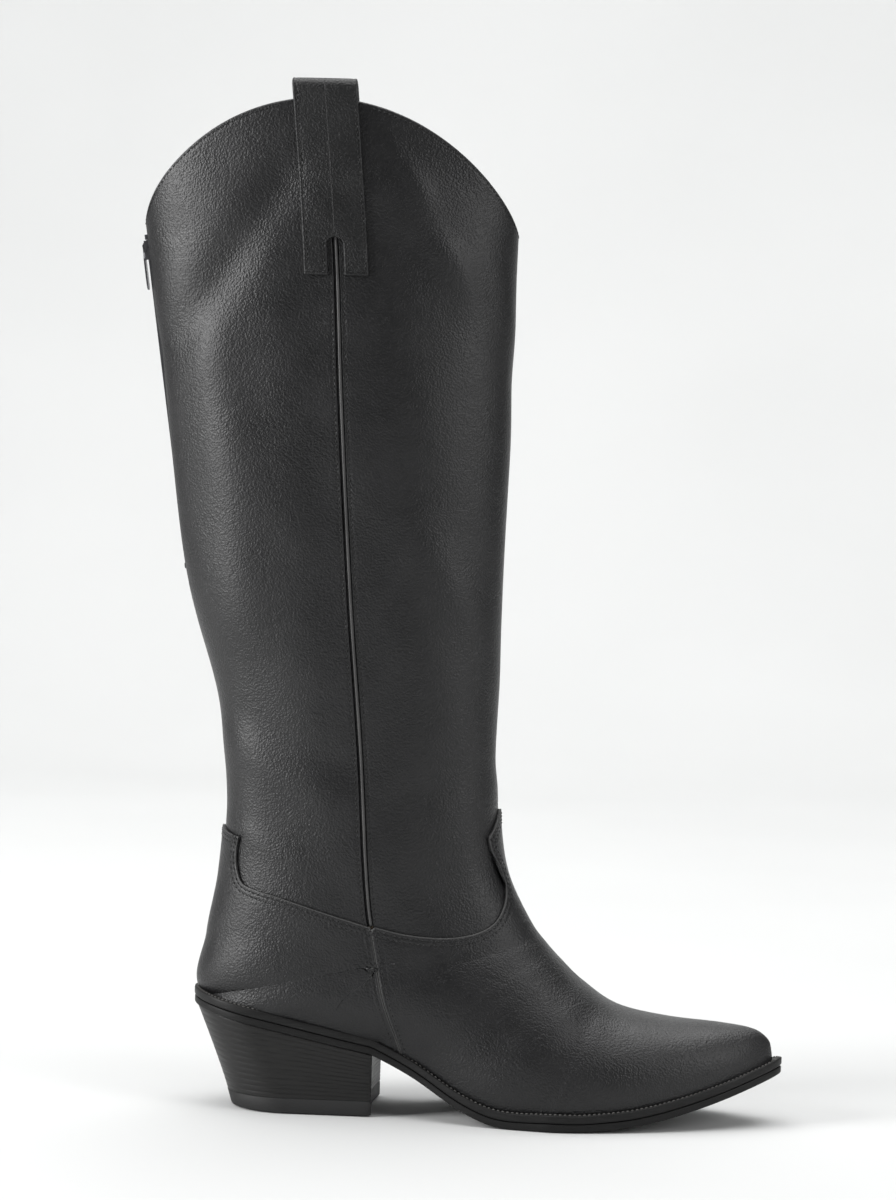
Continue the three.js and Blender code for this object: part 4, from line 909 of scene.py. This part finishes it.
def add_overlays():
    seam_low = seam_run(SEAM_CROSSING, float(seam_heights[-1]), 60)
    gap = turn_step(seam_low[:, 0], np.minimum(seam_low[:, 1], 0.98), 0.12)
    fine = np.array([0, 0.12, 0.28, 0.5, 0.8, 1.15, 1.5, 1.75, 2.0, 2.6, 3.4, 3.9, 4.4, 5.4, 7.5])

    # Vamp: from the tongue's centre out over its corner, round the throat, along to the seam and down.
    tongue_top = locate([TONGUE_TOP])[0]
    edge = locate(smooth_path(VAMP_EDGE, 190))
    rise = np.stack([np.linspace(tongue_top[0], edge[0, 0], 16), np.linspace(0, edge[0, 1], 16)], axis=1)[:-1]
    seam_side = seam_low.copy()
    seam_side[:-1, 1] -= gap[:-1]
    outer = np.concatenate([rise, edge, seam_side[1:]])
    upper = len(rise) + len(edge)
    count = len(outer)
    toe = np.stack([np.full(count, float(TOE_END)), np.linspace(0, 1, count) ** 0.9], axis=1)
    place = np.maximum(8.3, outer[:, 0] + 0.4)
    share = ((place - outer[:, 0]) / (TOE_END - outer[:, 0]))[:, None]
    middle = outer * (1 - share) + toe * share
    rank = np.clip(np.arange(count) / (upper - 1), 0, 1)
    lean = np.interp(rank, [0, 0.08, 0.3, 0.5, 1], [0.15, 0.15, 0.6, 0.85, 1.0])
    middle[:upper, 1] *= lean[:upper]
    mirror = lambda line: np.concatenate([line[::-1] * [1, -1], line[1:]])
    grid = three_way(mirror(outer), mirror(middle), mirror(toe), 150, fine)
    overlay_panel("vamp_leather", grid, mirror(outer), "vamp", skewed=True)
    for side, word in ((-1, "outer"), (1, "inner")):
        sign = np.array([1, side])
        sew_overlay(f"vamp_{word}", outer[:upper] * sign, seam_side * sign, side, side, 2.1, outer * sign)

    # Counter: from the tab at the back to the seam and down, drawn to the rear edge of the heel seat.
    tab = locate([(-45.4, 134.0)])[0]
    edge = locate(smooth_path(COUNTER_EDGE, 150))
    rise = np.stack([np.linspace(tab[0], edge[0, 0], 16), np.linspace(1, edge[0, 1], 16)], axis=1)[:-1]
    seam_side = seam_low.copy()
    seam_side[:, 1] = np.minimum(seam_side[:, 1] + gap, 1)
    outer = np.concatenate([rise, edge, seam_side[1:]])
    upper = len(rise) + len(edge)
    along = np.linspace(0, 1, len(outer)) ** 1.6
    seat = np.stack([CORNER + (outer[-1, 0] - 0.01 - CORNER) * along, np.ones(len(outer))], axis=1)
    for side, word in ((-1, "outer"), (1, "inner")):
        sign = np.array([1, side])
        grid = three_way(outer * sign, (outer + seat) / 2 * sign, seat * sign, 60, fine)
        overlay_panel(f"counter_{word}", grid, outer * sign, "counter_cover")
        sew_overlay(f"counter_{word}", outer[:upper] * sign, seam_side * sign, side, -side, 2.6, outer * sign)


def add_foot_lining():
    """Lining of the foot, from the end of the leg's lining to the toe."""
    rows = np.concatenate([np.linspace(LEG_FOOT - 0.3, 9.2, 40), np.linspace(9.3, TOE_END, 90)])
    turns = np.linspace(-1, 1, 121)
    place, turn = np.meshgrid(rows, turns, indexing="ij")
    shell_mesh("foot_lining", skin(place, turn, LINING_FACE), skin(place, turn, LINING_BACK), LINING,
               replaces=("vamp_lining", "heel_lining"), slot="lining")


def add_stiffener():
    """Board between the counter's leather and its lining, low round the heel."""
    rows = np.linspace(LEG_FOOT + 0.05, seam_end - 0.1, 50)
    front = seam_turn(rows) + turn_step(rows, np.minimum(seam_turn(rows), 0.98), STIFFENER_GAP)
    share = np.linspace(0, 1, 60)
    turns = np.minimum(front[:, None] * (1 - share) + share, 1)
    places = np.broadcast_to(rows[:, None], turns.shape)
    for side, word in ((-1, "outer"), (1, "inner")):
        face, back = (skin(places, side * turns, out) for out in (-0.1, SHAFT_BACK))
        shell_mesh(f"stiffener_{word}", face, back, BOARD, replaces=("counter_stiffener",), slot="board")


def add_seams():
    """Piping and stitches of the side seams, and the row of stitches below the topline."""
    centre = seam_run(446, SEAM_CROSSING + 0.5, 240)
    beside = lambda shift: centre[:, 1] - shift * turn_step(centre[:, 0], centre[:, 1], 1.0)
    for side, word in ((-1, "outer"), (1, "inner")):
        turn = side * beside(0.38)
        path = skin(centre[:, 0], turn, 0.0)
        up = normals(centre[:, 0], turn)
        tube(f"piping_{word}", path, up, 0.68, PIPING_AND_EDGE_HIGHLIGHT, replaces=(f"side_seam_piping_{word}",),
             slot="strap_leather")
        across = np.stack([beside(shift) for shift in (-4, -2, 0, 2, 4)], axis=1) * side
        along = np.repeat(centre[:, :1], 5, axis=1)
        shell_mesh(f"seam_tape_{word}", skin(along, across, -1.32), skin(along, across, -1.56), TAPE)
        rows = [thread_path(centre[:, 0], side * beside(shift), -STITCH_SINK) for shift in (-2.9, 2.9)]
        add_stitches(f"stitching_seam_{word}", rows, THREAD)
    turns = np.linspace(-0.975, 0.975, 900)
    place = np.full_like(turns, 0.028)
    away = np.abs(np.abs(turns) - seam_turn(np.zeros(1))[0]) > 0.075
    rows = []
    for part in np.split(np.arange(len(turns)), np.where(np.diff(away.astype(int)) != 0)[0] + 1):
        if away[part[0]] and len(part) > 8:
            rows.append(thread_path(place[part], turns[part], -STITCH_SINK))
    add_stitches("stitching_topline", rows, THREAD)


# ------------------------------------------------------------------ pull straps
def leg_half(x, z, side):
    """Half width of the leg, folds included, at points seen from the side."""
    q = place_at_height(z)
    centre = (front_x(q) + rear_x(q)) / 2
    reach = (front_x(q) - rear_x(q)) / 2
    share = np.clip(np.abs(x - centre) / reach, 0, 1)
    half = section_half[side](q) * np.sqrt(1 - share**2)
    return half + folds(np.stack([x, side * half, z], axis=-1))


def lean(z, side):
    """The inner strap leans back a little at its top."""
    return -6.0 * np.clip((z - 425) / 60, 0, 1) * (side > 0)


def strap_line():
    """Middle of the strap's thickness: distance out from the leg and height, from end to end."""
    outside = 0.3 + STRAP_THICKNESS / 2
    inside = LINING_FACE - 0.6 - STRAP_THICKNESS / 2
    bow = 1.1
    radius = (outside - inside) / 2 + bow
    middle = (outside + inside) / 2
    fold_height = STRAP_TOP - STRAP_THICKNESS / 2 - radius
    path = [(outside, STRAP_BOTTOM), (outside, 415), (outside, 435), (outside, 452), (outside + 0.1, 468),
            (outside + 0.7, 478)]
    for angle in np.linspace(0, math.pi, 9):
        path.append((middle + radius * math.cos(angle), fold_height + radius * math.sin(angle)))
    path += [(inside - 0.7, 478), (inside, 468), (inside, 455), (inside, STRAP_INSIDE_END)]
    return smooth_path(path, int(150 * FINE) + 10)


def add_strap(side, word):
    line = strap_line()
    run = np.gradient(line, axis=0)
    run /= np.linalg.norm(run, axis=1, keepdims=True)
    facing = np.stack([run[:, 1], -run[:, 0]], axis=1)
    size = lengths(line)
    # Extra lines near the ends, where the edge is rounded.
    ends = np.array([0, 0.1, 0.25, 0.45, 0.7, 1.0, 1.4, 1.9])
    at = np.unique(np.concatenate([ends, size[(size > 2) & (size < size[-1] - 2)], size[-1] - ends]))
    out = np.interp(at, size, line[:, 0])
    height = np.interp(at, size, line[:, 1])
    face_out = np.interp(at, size, facing[:, 0])
    face_up = np.interp(at, size, facing[:, 1])
    half = STRAP_WIDTH / 2
    arch = NOTCH_HEIGHT - NOTCH_WIDTH / 2
    above = np.clip(at - arch, 0, NOTCH_WIDTH / 2)
    notch = np.sqrt(np.maximum((NOTCH_WIDTH / 2) ** 2 - above**2, 0))
    for hand in (-1, 1):
        from_edge = np.array([0, 0.1, 0.25, 0.45, 0.7, 1.0, 1.4, 1.7, 2.1, 3.0])
        rows = []
        for k in range(len(at)):
            span = half - notch[k]
            far = span - (from_edge[::-1] if notch[k] > 0 else np.linspace(2, 0, len(from_edge)))
            middle = np.linspace(from_edge[-1], far[0], 8)[1:-1]
            rows.append(np.concatenate([from_edge, middle, far]))
        inward = np.array(rows)
        across = hand * (half - inward)
        across = across[:, ::-1] if hand > 0 else across
        inward = inward[:, ::-1] if hand > 0 else inward
        along = np.broadcast_to(at[:, None], across.shape)
        arch_gap = np.where(along < arch, np.abs(across) - NOTCH_WIDTH / 2,
                            np.hypot(across, along - arch) - NOTCH_WIDTH / 2)
        arch_gap = np.maximum(arch_gap, 0)
        edge = np.minimum(np.minimum(inward, arch_gap), np.minimum(along, size[-1] - along))
        crown = rolled(edge, STRAP_THICKNESS / 2) + grooves(edge, (1.7,))
        z0 = np.broadcast_to(height[:, None], across.shape)
        x = seam_at(z0) + across + lean(z0, side)
        creases = 0.35 * np.sin(z0 / 2.6 + 0.4 * np.sin(x / 4)) * np.exp(-((z0 - 446) / 9) ** 2)
        creases += 0.25 * np.sin(z0 / 5.1 + x / 7) * (along < 90)
        base = leg_half(x, np.minimum(z0, 478), side)
        sheets = []
        for face in (1, -1):
            reach = out[:, None] + face_out[:, None] * face * crown + creases * 0.6
            rise = z0 + face_up[:, None] * face * crown
            sheets.append(np.stack([x, side * (base + reach), rise], axis=-1))
        shell_mesh(f"strap_{word}_{'fore' if hand > 0 else 'rear'}", sheets[0], sheets[1], STRAP,
                   replaces=(f"pull_strap_{word}",), slot="strap_leather")
    sew_strap(side, word, line, facing, arch)


def sew_strap(side, word, line, facing, arch):
    """A row of stitches round the outside leg of the strap, notch and all."""
    inset = EDGE_ROW
    half = STRAP_WIDTH / 2 - inset
    notch = NOTCH_WIDTH / 2 + inset
    top = 86.0
    corner = [(-half, top), (-half, inset), (-notch, inset), (-notch, arch)]
    curve = [(-notch * math.cos(a), arch + notch * math.sin(a)) for a in np.linspace(0, math.pi, 14)]
    loop = corner + curve + [(notch, arch), (notch, inset), (half, inset), (half, top)]
    size = lengths(line)
    rows = []
    for a, b in zip(loop[:-1], loop[1:]):
        count = max(int(math.dist(a, b) / 0.5), 2)
        rows += [(a[0] + (b[0] - a[0]) * t, a[1] + (b[1] - a[1]) * t) for t in np.linspace(0, 1, count)[:-1]]
    rows = np.array(rows)
    out = np.interp(rows[:, 1], size, line[:, 0]) + STRAP_THICKNESS / 2 - 0.1
    z = np.interp(rows[:, 1], size, line[:, 1])
    x = seam_at(z) + rows[:, 0] + lean(z, side)
    y = side * (leg_half(x, np.minimum(z, 478), side) + out)
    path = np.stack([x, y, z], axis=1)
    up = np.tile([0.0, side, 0.0], (len(path), 1))
    add_stitches(f"stitching_strap_{word}", [(path, up)], THREAD)


# ------------------------------------------------------------------ sole
def sole_stations():
    t = np.linspace(0, 1, int(150 * FINE) + 20)
    return (1 - np.cos(np.pi * t)) / 2 * 0.82 + t * 0.18


def sole_ring(share, side, inset, height):
    x = (SOLE_BACK + inset) + (SOLE_TIP - SOLE_BACK - 2 * inset) * share
    return np.stack([x, side * sole_half(x, side, inset), height(x)], axis=-1)


def sole_layer(name, low, high, material, node, slot, base_inset=0.0, bevel=0.5, across=14, sharp=None):
    """One layer of the sole with rounded edges, from its underside round the edge to its top."""
    share = sole_stations()
    columns = []
    for side in (-1, 1):
        edge = []
        for angle in np.linspace(0, math.pi / 2, 5):
            inset = base_inset + bevel * (1 - math.sin(angle))
            drop = bevel * (1 - math.cos(angle))
            edge.append((inset, lambda x, d=drop: low(x) + d))
        for angle in np.linspace(math.pi / 2, 0, 5):
            inset = base_inset + bevel * (1 - math.sin(angle))
            drop = bevel * (1 - math.cos(angle))
            edge.append((inset, lambda x, d=drop: high(x) - d))
        rings = [sole_ring(share, side, inset, height) for inset, height in edge]
        columns.append(rings)
    outer, inner = columns
    top_left, top_right = outer[-1], inner[-1]
    low_left, low_right = outer[0], inner[0]
    mix = np.linspace(0, 1, across + 1)[1:-1]

    def cross(a, b, height):
        lines = []
        for t in mix:
            line = a * (1 - t) + b * t
            line[:, 2] = height(line[:, 0])
            lines.append(line)
        return lines

    loop = outer + cross(top_left, top_right, high) + inner[::-1] + cross(low_right, low_left, low)
    grid = np.stack(loop, axis=1)
    rows, count = grid.shape[:2]
    points, faces, _ = weld(grid.reshape(-1, 3), ring_faces(rows, count), 1e-3)
    return mesh(name, points, faces, material, replaces=(node,), slot=slot, sharp=sharp)


def add_sole():
    low_welt = lambda x: sole_bottom(x) + OUTSOLE + BOND
    sole_layer("outsole_leather", sole_bottom, lambda x: sole_bottom(x) + OUTSOLE + 0.1, SOLE_EDGE, "outsole",
               "sole", base_inset=0.2, bevel=0.8)
    sole_layer("welt_leather", low_welt, seat_top, WELT_EDGE, "welt", "sole", bevel=0.8)
    share = sole_stations()
    rows = []
    outer = sole_ring(share, -1, 1.5, seat_top)
    inner = sole_ring(share, 1, 1.5, seat_top)
    loop = np.concatenate([outer, inner[::-1]])
    size = lengths(loop)
    loop = loop[np.concatenate([[True], np.diff(size) > 1e-6])]
    rows.append((loop, np.tile([0.0, 0.0, 1.0], (len(loop), 1))))
    add_stitches("stitching_welt", rows, WELT_THREAD, pitch=2.3, length=1.7, thick=0.42)


def add_insole():
    inset = FEATHER_INSET - LINING_FACE + 1.2
    pad = through([(20, 4.6), (75, 0)])
    low = lambda x: seat_top(x) + 3.8 + pad(x)
    sole_layer("sock_leather", low, lambda x: low(x) + 1.2, LINING, "sock_liner", "lining", base_inset=inset,
               bevel=0.3)


# ------------------------------------------------------------------ heel
def heel_outline(share, inset, count=96):
    """Plan of the heel at a share of its height: round back, straight sides, hollow breast."""
    back = HEEL_BACK + (SOLE_BACK + 1.5 - HEEL_BACK) * share**1.25 + inset
    half = HEEL_HALF + (HEEL_SEAT_HALF - HEEL_HALF) * share - inset
    front = HEEL_FRONT - inset
    centre = back + half
    corner = 1.2
    points = [(x, half) for x in np.linspace(front - corner, centre, count // 6)]
    angles = np.linspace(math.pi / 2, 3 * math.pi / 2, count // 2)[1:-1]
    points += [(centre + half * math.cos(a), half * math.sin(a)) for a in angles]
    points += [(x, -half) for x in np.linspace(centre, front - corner, count // 6)]
    turn = np.linspace(-math.pi / 2, 0, 5)[1:]
    points += [(front - corner + corner * math.cos(a), -half + corner + corner * math.sin(a)) for a in turn]
    for y in np.linspace(-half + corner, half - corner, count // 4)[1:-1]:
        points.append((front - BREAST_HOLLOW * (1 - (y / (half - corner)) ** 2), y))
    turn = np.linspace(0, math.pi / 2, 5)[:-1]
    points += [(front - corner + corner * math.cos(a), half - corner + corner * math.sin(a)) for a in turn]
    return np.array(points)


def heel_block(name, levels, node, material, slot, body="boot"):
    """Stack of outlines: each level gives its share of the height, an inset and its height as a function."""
    rings = []
    for share, inset, height in levels:
        plan = heel_outline(share, inset)
        rings.append(np.column_stack([plan, height(plan[:, 0])]))
    count = len(rings[0])
    points = np.concatenate(rings + [[rings[0].mean(axis=0)], [rings[-1].mean(axis=0)]])
    faces = ring_faces(len(rings), count)
    low, high = len(rings) * count, len(rings) * count + 1
    last = (len(rings) - 1) * count
    for j in range(count):
        faces.append([low, (j + 1) % count, j])
        faces.append([high, last + j, last + (j + 1) % count])
    return mesh(name, points, faces, material, body=body, replaces=node, slot=slot, sharp=50)


def add_heel():
    lift_share = TOP_LIFT / 42
    flat = lambda z: (lambda x: np.full_like(np.asarray(x, float), z))
    levels = [(0, 0.5, flat(0.0)), (0, 0.12, flat(0.15)), (0.01, 0, flat(0.6)),
              (lift_share, 0, flat(TOP_LIFT - 0.4)), (lift_share, 0.25, flat(TOP_LIFT))]
    heel_block("top_lift_rubber", levels, ("heel_top_lift",), LIFT_RUBBER, "rubber")
    base = TOP_LIFT + 0.1
    top = lambda x: sole_bottom(x) - 0.1
    levels = []
    layers = 13
    for k in range(layers):
        for part, inset in ((0.0, 0.16), (0.12, 0.03), (0.5, 0.0), (0.88, 0.03)):
            t = (k + part) / layers
            share = lift_share + (1 - lift_share) * t
            levels.append((share, inset, lambda x, t=t: base + (top(x) - base) * t))
    levels.append((1.0, 0.2, top))
    heel_block("stacked_heel_leather", levels, ("heel_wrap",), HEEL_STACK, "stack")


# ------------------------------------------------------------------ camera, floor and light
def add_camera():
    target = Vector((60.37, 0.0, 245.68)) * MM
    distance = 1700 * MM
    yaw, pitch, roll = math.radians(3.3), math.radians(2.8), math.radians(1.6)
    back = Vector((math.sin(yaw) * math.cos(pitch), -math.cos(yaw) * math.cos(pitch), math.sin(pitch)))
    right = (-back).cross(Vector((0, 0, 1))).normalized()
    up = right.cross(-back)
    turned_right = right * math.cos(roll) + up * math.sin(roll)
    turned_up = -right * math.sin(roll) + up * math.cos(roll)
    camera = bpy.data.objects.new("camera", bpy.data.cameras.new("camera"))
    camera.matrix_world = Matrix((turned_right, turned_up, back)).transposed().to_4x4()
    camera.location = target + back * distance
    camera.data.sensor_fit = "AUTO"
    camera.data.sensor_width = 36
    camera.data.lens = 106.25
    camera.data.clip_end = 50
    bpy.context.collection.objects.link(camera)
    bpy.context.scene.camera = camera


def add_floor():
    """A pale floor that sweeps up behind the boot."""
    profile = [(-6000, 0)] + [(1500 + 900 * math.sin(a), 900 - 900 * math.cos(a))
                              for a in np.linspace(0, math.pi / 2, 16)] + [(2400, 6000)]
    points, faces = [], []
    for x in (-7000, 7000):
        points += [(x, y, z - 0.6) for y, z in profile]
    n = len(profile)
    for i in range(n - 1):
        faces.append([i, n + i, n + i + 1, i + 1])
    data = bpy.data.meshes.new("floor")
    data.from_pydata((np.array(points) * MM).tolist(), [], faces)
    floor = bpy.data.objects.new("floor", data)
    data.polygons.foreach_set("use_smooth", [True] * len(data.polygons))
    bpy.context.collection.objects.link(floor)
    n = Nodes("floor")
    n.set("Base Color", n.ramp(n.noise(3, 2), [(0.3, (0.640, 0.645, 0.642)), (0.7, (0.660, 0.665, 0.662))]))
    n.set("Roughness", 0.9).set("Specular IOR Level", 0.1)
    data.materials.append(n.material)


def add_light(name, place, aim, size, power, colour=(1, 1, 1)):
    data = bpy.data.lights.new(name, "AREA")
    data.shape = "RECTANGLE"
    data.size, data.size_y = size
    data.energy = power
    data.color = colour
    light = bpy.data.objects.new(name, data)
    light.location = place
    light.rotation_euler = (Vector(aim) - Vector(place)).to_track_quat("-Z", "Y").to_euler()
    bpy.context.collection.objects.link(light)


def add_lights():
    add_light("left", (-1.55, -0.75, 0.75), (0.02, 0, 0.28), (0.7, 1.3), 36)
    add_light("right", (1.6, -0.9, 0.9), (0.05, 0, 0.25), (0.7, 1.3), 12)
    add_light("top", (0.0, 0.2, 2.6), (0.05, 0, 0.0), (3.2, 3.2), 84)
    add_light("backdrop", (0.0, 0.9, 2.6), (0, 2.6, 0.9), (3.0, 0.6), 22)
    world = bpy.data.worlds.new("studio")
    world.use_nodes = True
    world.node_tree.nodes["Background"].inputs["Color"].default_value = (0.94, 0.945, 0.95, 1)
    world.node_tree.nodes["Background"].inputs["Strength"].default_value = 0.16
    bpy.context.scene.world = world
    settings = bpy.context.scene.view_settings
    settings.view_transform = "Standard"
    settings.look = "None"


# ------------------------------------------------------------------ CAD nodes that stay
KEPT = {
    "steel_shank": STEEL, "heel_screw": STEEL, "insole_board": BOARD, "heel_seat_board": BOARD,
    "toe_puff": BOARD, "forefoot_filler": CORK, "heel_pad": FOAM,
    "vamp_doubler": CLOTH, "heel_core": PLASTIC,
    "zip_tape_outer": TAPE, "zip_tape_inner": TAPE,
    "zip_teeth_outer": DARK_METAL, "zip_teeth_inner": DARK_METAL,
    "zip_top_stop_outer": DARK_METAL, "zip_top_stop_inner": DARK_METAL, "zip_bottom_stop": DARK_METAL,
    "zip_slider": DARK_METAL, "zip_puller": DARK_METAL,
    **{f"heel_nail_{i}": STEEL for i in range(1, 6)},
}


def finish_cad():
    for name, material in KEPT.items():
        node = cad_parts[name]
        node.data.materials.clear()
        node.data.materials.append(material)


add_camera()
add_floor()
add_lights()
add_leg()
add_overlays()
add_foot_lining()
add_stiffener()
add_seams()
add_strap(-1, "outer")
add_strap(1, "inner")
add_sole()
add_insole()
add_heel()
finish_cad()
